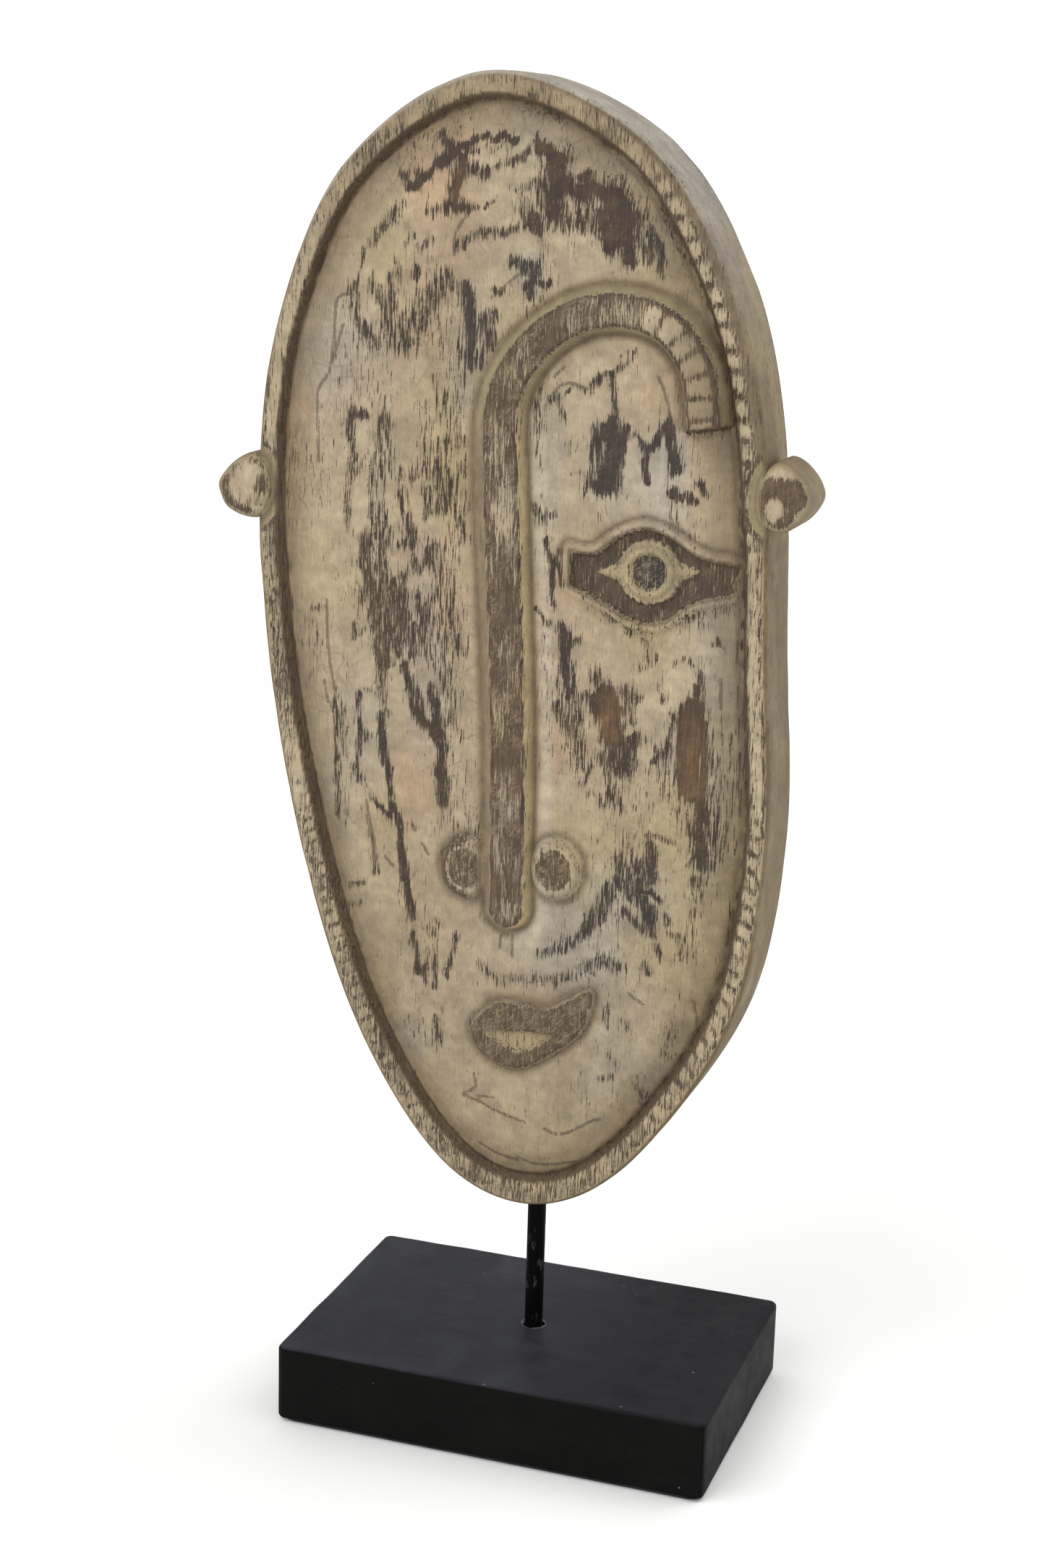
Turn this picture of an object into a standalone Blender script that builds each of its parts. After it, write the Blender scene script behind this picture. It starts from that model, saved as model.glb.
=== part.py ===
"""A carved wooden mask on a rod, standing on a black wooden base.

Metres, +Z up. The mask faces -Y and the long side of the base runs along X. The origin is on the ground
under the support rod, whose axis is the line X = 0, Y = 0.

The mask is one board, carved all over: a flat back, a raised rim with a groove inside it, a domed face
panel, and on the panel a nose that runs up into an arched brow, two nostrils, one eye and a mouth. The
two ear knobs are carved from the same board. The rod sits in the base down to a shoulder, and its thin
end goes on through to a washer and a nut in a counterbore below. A felt sheet covers the underside.
"""

import math

import bmesh
import bpy
import numpy as np
from mathutils import Vector

MM = 0.001
CLEARANCE = 0.3 * MM

# Base and the felt sheet that it rests on
BASE_WIDTH = 240 * MM
BASE_DEPTH = 160 * MM
BASE_HEIGHT = 42 * MM
BASE_EDGE_ROUND = 2 * MM
FELT_THICKNESS = 1.5 * MM
FELT_INSET = 3 * MM
FELT_CORNER_RADIUS = 6 * MM
BASE_BOTTOM = FELT_THICKNESS + CLEARANCE
BASE_TOP = BASE_BOTTOM + BASE_HEIGHT

# Support rod and what holds it in the base
ROD_RADIUS = 5 * MM
ROD_SPIGOT_RADIUS = 4 * MM
ROD_IN_BASE = 14 * MM
COUNTERBORE_RADIUS = 16 * MM
COUNTERBORE_DEPTH = 15 * MM
WASHER_RADIUS = 12 * MM
WASHER_THICKNESS = 2 * MM
NUT_ACROSS_FLATS = 13 * MM
NUT_THICKNESS = 6.5 * MM
SPIGOT_PAST_NUT = 2.5 * MM
ROD_IN_MASK = 66 * MM

# Board that the mask is carved from
MASK_FRONT = -24 * MM
MASK_BACK = 24 * MM
MASK_BOTTOM = 125 * MM
MASK_MIDDLE_X = 2.5 * MM
BOARD_EDGE_ROUND = 2 * MM

# Outline of the board seen from the front, as (x, z) in millimetres. Here and in every outline below, x is
# measured from the mask's middle line, which is a little to the right of the rod, and z from the base's
# underside. It runs from the bottom tip up the left side, over the top and down the right side.
BOARD_OUTLINE = (
    (2, 122.5), (-50, 139.5), (-98, 205), (-131, 294), (-153, 400), (-160, 500), (-149, 588), (-111, 668),
    (-38, 711), (41, 683), (87, 620), (109, 541), (116, 430), (121, 330), (105, 235), (52, 151),
)

# Steps of the front, each as (distance in from the board's edge, Y). They lead from the rounded edge of
# the rim into the groove and up to the border of the face panel.
RIM_WIDTH = 12 * MM
GROOVE_WIDTH = 3 * MM
RIM_INNER_Y = -23 * MM
GROOVE_Y = -19 * MM
PANEL_BORDER_Y = -21.5 * MM

# Domed face panel. It rises from its border to a level middle around an upright line.
PANEL_RISE = 5.5 * MM
PANEL_SPINE_X = -16 * MM
PANEL_SPINE_BOTTOM = 250 * MM
PANEL_SPINE_TOP = 590 * MM
PANEL_STEPS = (0.12, 0.3, 0.55, 0.8)

# Nose and brow: a raised band whose centre line runs up the nose and over the eye
RIDGE_LINE = (
    (-14, 289), (-16, 388), (-22, 500), (-23, 550), (-9, 578), (14, 595), (38, 599), (61, 592), (76, 572),
    (81, 544),
)
RIDGE_TOP_Y = -34 * MM
RIDGE_HALF_WIDTH_NOSE = 9.5 * MM
RIDGE_HALF_WIDTH_BROW = 8 * MM
RIDGE_SLOPE_WIDTH = 4.5 * MM

# Nostrils: a low dome inside a raised ring, on each side of the nose's end
NOSTRIL_CENTRES = ((-38, 309), (12, 314))
NOSTRIL_RADIUS = 14.5 * MM
NOSTRIL_RING_WIDTH = 3.5 * MM
NOSTRIL_RING_Y = -31 * MM
NOSTRIL_DOME_Y = -32.5 * MM

# Eye: a sunk almond with the iris standing up in it
EYE_OUTLINE = (
    (15, 477), (27, 477), (38, 487), (51, 493), (64, 490), (79, 479), (93, 482), (99, 473), (95, 463),
    (78, 458), (62, 446), (46, 447), (30, 456), (16, 461),
)
EYE_FLOOR_Y = -21 * MM
IRIS_CENTRE = (55, 470)
IRIS_RADIUS = 15 * MM
IRIS_RING_INNER = 9 * MM
IRIS_FLOOR_Y = -24 * MM
IRIS_RING_Y = -27 * MM
EYE_WEDGE_TIPS = ((27, 468), (81, 473))
EYE_WEDGE_HALF_HEIGHT = 6 * MM
EYE_WEDGE_Y = -24 * MM

# Mouth: raised lips with a sunk slit
LIPS_OUTLINE = (
    (-33, 222), (-20, 237), (-4, 236), (9, 235), (33, 248), (28, 226), (8, 208), (-10, 201), (-28, 208),
)
SLIT_OUTLINE = ((-25, 219), (-8, 222), (12, 222), (-6, 213))
LIPS_Y = -30 * MM
SLIT_FLOOR_Y = -27.5 * MM

# Ear knobs: blocks with a rounded outline that stand out from the sides of the board
LEFT_EAR_OUTLINE = ((-140, 518), (-163, 516), (-181, 503), (-181, 492), (-170, 484), (-140, 485))
RIGHT_EAR_OUTLINE = ((95, 524), (118, 529), (132, 518), (131, 506), (118, 497), (95, 496))
EAR_FRONT_Y = -23 * MM
EAR_BACK_Y = 8 * MM
EAR_EDGE_ROUND = 4 * MM

SPAN_POINTS = 6
ROUND_SIDES = 32


def remove_all_objects():
    for item in list(bpy.data.objects):
        bpy.data.objects.remove(item, do_unlink=True)


def wood_or_metal(name, colour, roughness, metallic=0.0):
    """A Principled material with one colour."""
    made = bpy.data.materials.new(name)
    made.use_nodes = True
    shader = made.node_tree.nodes["Principled BSDF"]
    shader.inputs["Base Color"].default_value = (*colour, 1.0)
    shader.inputs["Roughness"].default_value = roughness
    shader.inputs["Metallic"].default_value = metallic
    return made


def add_object(name, mesh, material=None):
    made = bpy.data.objects.new(name, mesh)
    bpy.context.scene.collection.objects.link(made)
    if material:
        mesh.materials.append(material)
    return made


def mesh_from_faces(name, points, faces, smooth_angle=None):
    """A mesh of these corners and faces, with its normals turned outwards."""
    mesh = bpy.data.meshes.new(name)
    mesh.from_pydata([tuple(point) for point in points], [], faces)
    shape = bmesh.new()
    shape.from_mesh(mesh)
    bmesh.ops.recalc_face_normals(shape, faces=shape.faces)
    shape.to_mesh(mesh)
    shape.free()
    if smooth_angle:
        mesh.shade_smooth()
        mesh.set_sharp_from_angle(angle=math.radians(smooth_angle))
    return mesh


def spline_point(before, start, end, after, t):
    """The point at t between start and end, on a Catmull-Rom curve through all four."""
    return 0.5 * (
        2 * start
        + (end - before) * t
        + (2 * before - 5 * start + 4 * end - after) * t**2
        + (3 * start - before - 3 * end + after) * t**3
    )


def front_points(corners):
    """Corners given as (x, z) in millimetres, as an array of metres in the object's own frame."""
    return np.array(corners, float) * MM + np.array([MASK_MIDDLE_X, BASE_BOTTOM])


def closed_curve(corners, span_points=SPAN_POINTS):
    """Points along a smooth closed curve through the corners."""
    points = front_points(corners)
    padded = np.vstack([points[-1], points, points[:2]])
    return np.array([
        spline_point(*padded[i:i + 4], step / span_points)
        for i in range(len(points))
        for step in range(span_points)
    ])


def open_curve(corners, span_points=SPAN_POINTS):
    """Points along a smooth curve from the first corner to the last."""
    points = front_points(corners)
    padded = np.vstack([2 * points[0] - points[1], points, 2 * points[-1] - points[-2]])
    curve = [
        spline_point(*padded[i:i + 4], step / span_points)
        for i in range(len(points) - 1)
        for step in range(span_points)
    ]
    return np.array(curve + [points[-1]])


def inward_normals(outline):
    """Unit normals that point into a closed outline, one for each of its points."""
    along = np.roll(outline, -1, axis=0) - np.roll(outline, 1, axis=0)
    normals = np.column_stack([along[:, 1], -along[:, 0]])
    normals /= np.linalg.norm(normals, axis=1)[:, None]
    inside = outline.mean(axis=0) - outline
    return normals if (normals * inside).sum() > 0 else -normals


def with_depth(points, y):
    """Front view points (x, z) as (x, y, z)."""
    return [Vector((x, y, z)) for x, z in points]


def ring_faces(rings, count):
    """Four-sided faces that join each ring of points to the next, and a face across each end."""
    faces = []
    for ring in range(rings - 1):
        start = ring * count
        for i in range(count):
            after = (i + 1) % count
            faces.append((start + i, start + after, start + count + after, start + count + i))
    last = (rings - 1) * count
    faces.append(tuple(range(count)))
    faces.append(tuple(range(last, last + count)))
    return faces


def carved_board():
    """The board with its rim, groove and domed panel, as rings of points joined by faces."""
    outline = closed_curve(BOARD_OUTLINE)
    inward = inward_normals(outline)
    groove_inset = RIM_WIDTH + GROOVE_WIDTH / 2
    border_inset = RIM_WIDTH + 2 * GROOVE_WIDTH
    steps = (
        (BOARD_EDGE_ROUND, MASK_BACK),
        (0, MASK_BACK - BOARD_EDGE_ROUND),
        (0, MASK_FRONT + BOARD_EDGE_ROUND),
        (BOARD_EDGE_ROUND, MASK_FRONT),
        (RIM_WIDTH - BOARD_EDGE_ROUND, MASK_FRONT),
        (RIM_WIDTH, RIM_INNER_Y),
        (groove_inset, GROOVE_Y),
        (groove_inset + GROOVE_WIDTH / 2, GROOVE_Y),
        (border_inset, PANEL_BORDER_Y),
    )
    rings = [with_depth(outline + inset * inward, y) for inset, y in steps]
    border = outline + border_inset * inward
    spine = np.column_stack([
        np.full(len(border), PANEL_SPINE_X),
        np.clip(border[:, 1], PANEL_SPINE_BOTTOM, PANEL_SPINE_TOP),
    ])
    for step in PANEL_STEPS:
        rise = PANEL_RISE * (1 - (1 - step / PANEL_STEPS[-1]) ** 2)
        rings.append(with_depth(border + step * (spine - border), PANEL_BORDER_Y - rise))
    points = [point for ring in rings for point in ring]
    return mesh_from_faces("mask", points, ring_faces(len(rings), len(outline)), smooth_angle=35)


def prism(name, outline, front_y, back_y, edge_round=0.0):
    """A closed outline pushed through from one depth to the other, with rounded edges."""
    points = with_depth(outline, front_y) + with_depth(outline, back_y)
    made = add_object(name, mesh_from_faces(name, points, ring_faces(2, len(outline))))
    if edge_round:
        rounding = made.modifiers.new("round_edges", "BEVEL")
        rounding.width = edge_round
        rounding.segments = 2
        rounding.limit_method = "ANGLE"
        rounding.angle_limit = math.radians(60)
    return made


def turned(name, profile, material=None, sides=ROUND_SIDES):
    """A turned body about Z, whose (radius, height) profile leaves the axis and comes back to it."""
    rings = profile[1:-1]
    angles = [2 * math.pi * i / sides for i in range(sides)]
    points = [(r * math.cos(a), r * math.sin(a), h) for r, h in rings for a in angles]
    faces = ring_faces(len(rings), sides)
    return add_object(name, mesh_from_faces(name, points, faces, smooth_angle=35), material)


def ridge_band():
    """The nose and brow: a band with sloping sides, round at the nose's end and square at the brow's."""
    line = open_curve(RIDGE_LINE)
    along = np.gradient(line, axis=0)
    along /= np.linalg.norm(along, axis=1)[:, None]
    across = np.column_stack([along[:, 1], -along[:, 0]])
    nose_end = [
        line[0] - along[0] * RIDGE_HALF_WIDTH_NOSE * math.sin(angle)
        for angle in np.radians((80, 55, 30))
    ]
    line = np.vstack([nose_end, line])
    across = np.vstack([np.tile(across[0], (len(nose_end), 1)), across])
    nose_share = np.linspace(1, 0, len(line) - len(nose_end))
    half_width = RIDGE_HALF_WIDTH_BROW + (RIDGE_HALF_WIDTH_NOSE - RIDGE_HALF_WIDTH_BROW) * nose_share
    end_widths = RIDGE_HALF_WIDTH_NOSE * np.cos(np.radians((80, 55, 30)))
    half_width = np.concatenate([end_widths, half_width])
    buried_y = GROOVE_Y
    section = (
        (-1, RIDGE_SLOPE_WIDTH, buried_y),
        (-1, RIDGE_SLOPE_WIDTH, PANEL_BORDER_Y - PANEL_RISE / 2),
        (-1, 0, RIDGE_TOP_Y + 1.5 * MM),
        (0, 0, RIDGE_TOP_Y),
        (1, 0, RIDGE_TOP_Y + 1.5 * MM),
        (1, RIDGE_SLOPE_WIDTH, PANEL_BORDER_Y - PANEL_RISE / 2),
        (1, RIDGE_SLOPE_WIDTH, buried_y),
    )
    points = []
    for centre, side, width in zip(line, across, half_width):
        for sign, slope, y in section:
            x, z = centre + sign * (width + slope) * side
            points.append((x, y, z))
    faces = ring_faces(len(line), len(section))
    return add_object("ridge_shape", mesh_from_faces("ridge_shape", points, faces))


def facing_front(made, centre):
    """Turns a body made about Z so that its top faces -Y, and centres it on this point of the front."""
    x, z = front_points([centre])[0]
    made.location = (x, 0, z)
    made.rotation_euler = (math.pi / 2, 0, 0)
    return made


def nostril(name, centre):
    ring_inner = NOSTRIL_RADIUS - NOSTRIL_RING_WIDTH
    profile = (
        (0, -GROOVE_Y),
        (NOSTRIL_RADIUS, -GROOVE_Y),
        (NOSTRIL_RADIUS, -NOSTRIL_RING_Y - 1.5 * MM),
        (NOSTRIL_RADIUS - 1.5 * MM, -NOSTRIL_RING_Y),
        (ring_inner, -NOSTRIL_RING_Y - 1 * MM),
        (ring_inner - 1 * MM, -NOSTRIL_RING_Y - 2.5 * MM),
        (ring_inner * 0.6, -NOSTRIL_DOME_Y - 1 * MM),
        (ring_inner * 0.25, -NOSTRIL_DOME_Y),
        (0, -NOSTRIL_DOME_Y),
    )
    return facing_front(turned(name, profile, sides=24), centre)


def iris():
    """A raised ring with a level pupil inside it."""
    profile = (
        (0, -GROOVE_Y),
        (IRIS_RADIUS, -GROOVE_Y),
        (IRIS_RADIUS, -IRIS_RING_Y - 1 * MM),
        (IRIS_RADIUS - 1 * MM, -IRIS_RING_Y),
        (IRIS_RING_INNER, -IRIS_RING_Y),
        (IRIS_RING_INNER - 1 * MM, -IRIS_FLOOR_Y),
        (0, -IRIS_FLOOR_Y),
    )
    return facing_front(turned("iris_shape", profile, sides=28), IRIS_CENTRE)


def eye_wedge(name, tip):
    """One pointed side of the iris, from under its ring out to the tip."""
    centre = front_points([IRIS_CENTRE])[0]
    end = front_points([tip])[0]
    reach = (end - centre) / np.linalg.norm(end - centre)
    root = centre + reach * (IRIS_RADIUS - 2 * MM)
    up = np.array([-reach[1], reach[0]]) * EYE_WEDGE_HALF_HEIGHT
    corners = np.array([root - up, end, root + up])
    return prism(name, corners, EYE_WEDGE_Y, GROOVE_Y)


def combine(target, operation, other):
    """Joins a helper shape to the target, or cuts it away, and hides the helper."""
    step = target.modifiers.new(f"{operation.lower()}_{other.name}", "BOOLEAN")
    step.operation = operation
    step.solver = "EXACT"
    step.object = other
    other.hide_render = True
    other.display_type = "WIRE"


def make_mask(material):
    mask = add_object("mask", carved_board(), material)
    combine(mask, "UNION", ridge_band())
    for side, centre in zip(("left", "right"), NOSTRIL_CENTRES):
        combine(mask, "UNION", nostril(f"{side}_nostril_shape", centre))
    for side, outline in (("left", LEFT_EAR_OUTLINE), ("right", RIGHT_EAR_OUTLINE)):
        ear = prism(f"{side}_ear_shape", closed_curve(outline, 4), EAR_FRONT_Y, EAR_BACK_Y, EAR_EDGE_ROUND)
        combine(mask, "UNION", ear)
    combine(mask, "UNION", prism("lips_shape", closed_curve(LIPS_OUTLINE, 3), LIPS_Y, GROOVE_Y, 1.5 * MM))
    front_of_all = RIDGE_TOP_Y * 2
    slit = prism("slit_cutter", closed_curve(SLIT_OUTLINE, 4), front_of_all, SLIT_FLOOR_Y)
    combine(mask, "DIFFERENCE", slit)
    socket = prism("eye_cutter", closed_curve(EYE_OUTLINE, 3), front_of_all, EYE_FLOOR_Y)
    combine(mask, "DIFFERENCE", socket)
    combine(mask, "UNION", iris())
    for side, tip in zip(("left", "right"), EYE_WEDGE_TIPS):
        combine(mask, "UNION", eye_wedge(f"{side}_wedge_shape", tip))
    bore_radius = ROD_RADIUS + CLEARANCE
    bore_top = MASK_BOTTOM + ROD_IN_MASK + CLEARANCE
    bore_bottom = MASK_BOTTOM - 2 * ROD_RADIUS
    bore_profile = ((0, bore_bottom), (bore_radius, bore_bottom), (bore_radius, bore_top), (0, bore_top))
    combine(mask, "DIFFERENCE", turned("bore_cutter", bore_profile))
    return mask


def make_base(material):
    """A block with rounded edges, a stepped hole for the rod and a counterbore below for the nut."""
    shape = bmesh.new()
    bmesh.ops.create_cube(shape, size=1.0)
    bmesh.ops.scale(shape, vec=(BASE_WIDTH, BASE_DEPTH, BASE_HEIGHT), verts=shape.verts)
    bmesh.ops.translate(shape, vec=(0, 0, BASE_BOTTOM + BASE_HEIGHT / 2), verts=shape.verts)
    bmesh.ops.bevel(
        shape, geom=shape.edges[:], offset=BASE_EDGE_ROUND, segments=2, profile=0.5, affect="EDGES"
    )
    mesh = bpy.data.meshes.new("base_block")
    shape.to_mesh(mesh)
    shape.free()
    base = add_object("base_block", mesh, material)
    thin_radius = ROD_SPIGOT_RADIUS + CLEARANCE
    wide_radius = ROD_RADIUS + CLEARANCE
    shelf = BASE_BOTTOM + COUNTERBORE_DEPTH
    shoulder = BASE_TOP - ROD_IN_BASE
    profile = (
        (0, 0),
        (COUNTERBORE_RADIUS, 0),
        (COUNTERBORE_RADIUS, shelf),
        (thin_radius, shelf),
        (thin_radius, shoulder),
        (wide_radius, shoulder),
        (wide_radius, BASE_TOP * 2),
        (0, BASE_TOP * 2),
    )
    combine(base, "DIFFERENCE", turned("rod_hole_cutter", profile))
    return base


def make_rod(material):
    """The rod: its shoulder rests inside the base, and its thin end reaches down past the nut."""
    shelf = BASE_BOTTOM + COUNTERBORE_DEPTH
    bottom = shelf - WASHER_THICKNESS - NUT_THICKNESS - 2 * CLEARANCE - SPIGOT_PAST_NUT
    shoulder = BASE_TOP - ROD_IN_BASE + CLEARANCE
    top = MASK_BOTTOM + ROD_IN_MASK
    edge = 0.8 * MM
    profile = (
        (0, bottom),
        (ROD_SPIGOT_RADIUS - edge, bottom),
        (ROD_SPIGOT_RADIUS, bottom + edge),
        (ROD_SPIGOT_RADIUS, shoulder),
        (ROD_RADIUS, shoulder),
        (ROD_RADIUS, top - edge),
        (ROD_RADIUS - edge, top),
        (0, top),
    )
    return turned("support_rod", profile, material)


def cut_bore(target):
    """Cuts the hole for the rod's thin end through a washer or a nut."""
    inner = ROD_SPIGOT_RADIUS + CLEARANCE
    profile = ((0, 0), (inner, 0), (inner, BASE_TOP), (0, BASE_TOP))
    combine(target, "DIFFERENCE", turned(f"{target.name}_bore_cutter", profile))


def make_washer(material):
    top = BASE_BOTTOM + COUNTERBORE_DEPTH - CLEARANCE
    bottom = top - WASHER_THICKNESS
    profile = ((0, bottom), (WASHER_RADIUS, bottom), (WASHER_RADIUS, top), (0, top))
    washer = turned("rod_washer", profile, material)
    cut_bore(washer)
    return washer


def make_nut(material):
    """A hexagon nut with chamfered corners."""
    top = BASE_BOTTOM + COUNTERBORE_DEPTH - WASHER_THICKNESS - 2 * CLEARANCE
    bottom = top - NUT_THICKNESS
    corner = NUT_ACROSS_FLATS / math.sqrt(3)
    edge = 0.7 * MM
    profile = (
        (0, bottom), (corner - edge, bottom), (corner, bottom + edge),
        (corner, top - edge), (corner - edge, top), (0, top),
    )
    nut = turned("rod_nut", profile, material, sides=6)
    cut_bore(nut)
    return nut


def make_felt(material):
    """A thin sheet with round corners, a little smaller than the base."""
    half_x = BASE_WIDTH / 2 - FELT_INSET - FELT_CORNER_RADIUS
    half_y = BASE_DEPTH / 2 - FELT_INSET - FELT_CORNER_RADIUS
    corners = ((1, 1, 0), (-1, 1, 90), (-1, -1, 180), (1, -1, 270))
    outline = [
        (
            side_x * half_x + FELT_CORNER_RADIUS * math.cos(math.radians(start + turn)),
            side_y * half_y + FELT_CORNER_RADIUS * math.sin(math.radians(start + turn)),
        )
        for side_x, side_y, start in corners
        for turn in (0, 30, 60, 90)
    ]
    points = [(x, y, z) for z in (0, FELT_THICKNESS) for x, y in outline]
    faces = ring_faces(2, len(outline))
    return add_object("felt_sheet", mesh_from_faces("felt_sheet", points, faces), material)


def main():
    remove_all_objects()
    make_mask(wood_or_metal("whitewashed_wood", (0.46, 0.38, 0.27), 0.75))
    make_base(wood_or_metal("black_painted_wood", (0.022, 0.023, 0.026), 0.5))
    make_rod(wood_or_metal("black_painted_steel", (0.02, 0.02, 0.022), 0.45, 0.3))
    zinc = wood_or_metal("zinc_plated_steel", (0.55, 0.55, 0.53), 0.4, 1.0)
    make_washer(zinc)
    make_nut(zinc)
    make_felt(wood_or_metal("black_felt", (0.03, 0.03, 0.03), 0.95))


main()
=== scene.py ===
"""The finished look of a carved, whitewashed wooden mask on its black stand.

The mask is rebuilt as a fine relief: its front is a height over the flat board, worked out from the same
outlines as the CAD, in millimetres above the base's underside. The base, the rod and the mask replace
their CAD nodes; the washer, the nut and the felt stay and get finer materials.
"""

import math

import bmesh
import bpy
import numpy as np
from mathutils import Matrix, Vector
from mathutils.kdtree import KDTree


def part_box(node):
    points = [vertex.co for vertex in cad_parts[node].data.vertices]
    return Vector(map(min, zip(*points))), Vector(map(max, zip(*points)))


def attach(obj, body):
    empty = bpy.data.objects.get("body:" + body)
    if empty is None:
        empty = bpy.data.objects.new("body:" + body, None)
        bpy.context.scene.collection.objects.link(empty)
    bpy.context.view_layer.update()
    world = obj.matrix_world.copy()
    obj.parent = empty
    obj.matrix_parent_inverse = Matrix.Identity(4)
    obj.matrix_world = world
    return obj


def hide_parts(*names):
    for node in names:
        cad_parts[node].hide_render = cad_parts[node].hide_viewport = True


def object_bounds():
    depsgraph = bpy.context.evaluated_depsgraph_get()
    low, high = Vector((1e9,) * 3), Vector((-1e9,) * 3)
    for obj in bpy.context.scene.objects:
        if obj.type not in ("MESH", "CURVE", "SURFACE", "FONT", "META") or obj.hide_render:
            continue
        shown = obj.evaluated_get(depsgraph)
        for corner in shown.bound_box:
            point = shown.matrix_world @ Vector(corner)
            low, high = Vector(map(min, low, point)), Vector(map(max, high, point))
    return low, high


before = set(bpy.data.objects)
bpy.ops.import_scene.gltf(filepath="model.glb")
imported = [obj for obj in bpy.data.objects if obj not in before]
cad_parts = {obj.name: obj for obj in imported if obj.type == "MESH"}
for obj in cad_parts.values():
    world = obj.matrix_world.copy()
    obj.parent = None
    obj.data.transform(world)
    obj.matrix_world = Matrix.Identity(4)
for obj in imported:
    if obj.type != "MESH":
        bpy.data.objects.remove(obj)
CAD_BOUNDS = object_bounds()

MM = 0.001
MASK_LOW, MASK_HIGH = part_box("mask")
BASE_LOW, BASE_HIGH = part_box("base_block")
ROD_LOW, ROD_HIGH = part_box("support_rod")

# Spacing of the points on the mask's front and on the base, in millimetres
RELIEF_GRID = 1.35
BASE_GRID = 4.0

# Board: how far its middle line is to the right of the rod, half of its thickness, and the rounding of its
# edges, in millimetres. In every outline and place on the mask, x is measured from that middle line.
MASK_MIDDLE = 2.5
HALF_THICKNESS = MASK_HIGH.y / MM
EDGE_ROUND = 2.5
BOARD_OUTLINE = (
    (2, 122.5), (-50, 139.5), (-98, 205), (-131, 294), (-153, 400), (-160, 500), (-149, 588), (-111, 668),
    (-38, 711), (41, 683), (87, 620), (109, 541), (116, 430), (121, 330), (105, 235), (52, 151),
)

# The rod's holes in the mask and in the base, and the rounding of the base's edges and upright corners
BORE_RADIUS = 5.3
BASE_HOLE_RADIUS = 5.4
THIN_HOLE_RADIUS = 4.4
ROD_IN_BASE = 14.0
COUNTERBORE_RADIUS = 16.0
COUNTERBORE_DEPTH = 15.0
BASE_EDGE_ROUND = 2.0
BASE_CORNER_ROUND = 5.0

# Rod, in millimetres
ROD_RADIUS = 5.0
ROD_THIN_RADIUS = 4.0

# Heights in front of the board's middle plane
RIM_HEIGHT = HALF_THICKNESS
GROOVE_HEIGHT = 18.5
PANEL_BORDER_HEIGHT = 21.5
PANEL_RISE = 5.5
RIDGE_HEIGHT = -MASK_LOW.y / MM

# Nose and brow
RIDGE_LINE = (
    (-14, 289), (-16, 388), (-22, 500), (-23, 550), (-9, 578), (14, 595), (38, 599), (61, 592), (76, 572),
    (81, 544),
)
RIDGE_HALF_WIDTH_NOSE = 9.0
RIDGE_HALF_WIDTH_BROW = 8.0
RIDGE_SLOPE_PLACES = (0, 110, 230, 300, 380)
RIDGE_OUTER_SLOPES = (5.5, 6.5, 8.0, 4.5, 3.4)
RIDGE_INNER_SLOPE = 3.0

# Nostrils, eye and mouth
NOSTRILS = ((-38, 308.5), (11, 313))
NOSTRIL_RADII = (13.8, 15.8)
EYE_OUTLINE = (
    (13, 478), (15, 479), (26, 479), (38, 488), (51, 493), (64, 490), (79, 481), (98, 477), (100, 474),
    (97, 467), (97, 462), (78, 457), (62, 446), (46, 446), (30, 454), (15, 460), (13, 462),
)
IRIS_CENTRE = (54, 471)
IRIS_RADIUS = 16.2
IRIS_TEETH = 24
WEDGE_TIPS = ((26, 469), (81, 473))
LIPS_OUTLINE = (
    (-34, 221), (-20, 236), (-4, 236), (9, 236), (32, 249), (28, 226), (8, 208), (-10, 200), (-28, 207),
)
SLIT_OUTLINE = ((-25, 219), (-8, 222), (12, 222), (-6, 211))

# Ear knobs: their outlines reach in over the rim, and their fronts stand a little higher than it
LEFT_EAR = (
    (-153, 502), (-156, 513), (-164, 517), (-175, 511), (-183, 500), (-180, 489), (-170, 483), (-160, 483),
    (-154, 490),
)
RIGHT_EAR = (
    (107, 510), (109, 522), (116, 530), (125, 527), (132, 519), (134, 510), (128, 500), (119, 495),
    (110, 499),
)
EAR_FRONT = 25.0
EAR_BACK = -8.0
EAR_ROUND = 4.0

# Pale blocks on the end of the brow: how far along the ridge they start, and how long each is
BROW_BLOCKS_START = 350
BROW_BLOCK = 10.5

# Distance from a crack, in millimetres, beyond which a point has none
NO_CRACK = 9.0

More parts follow.
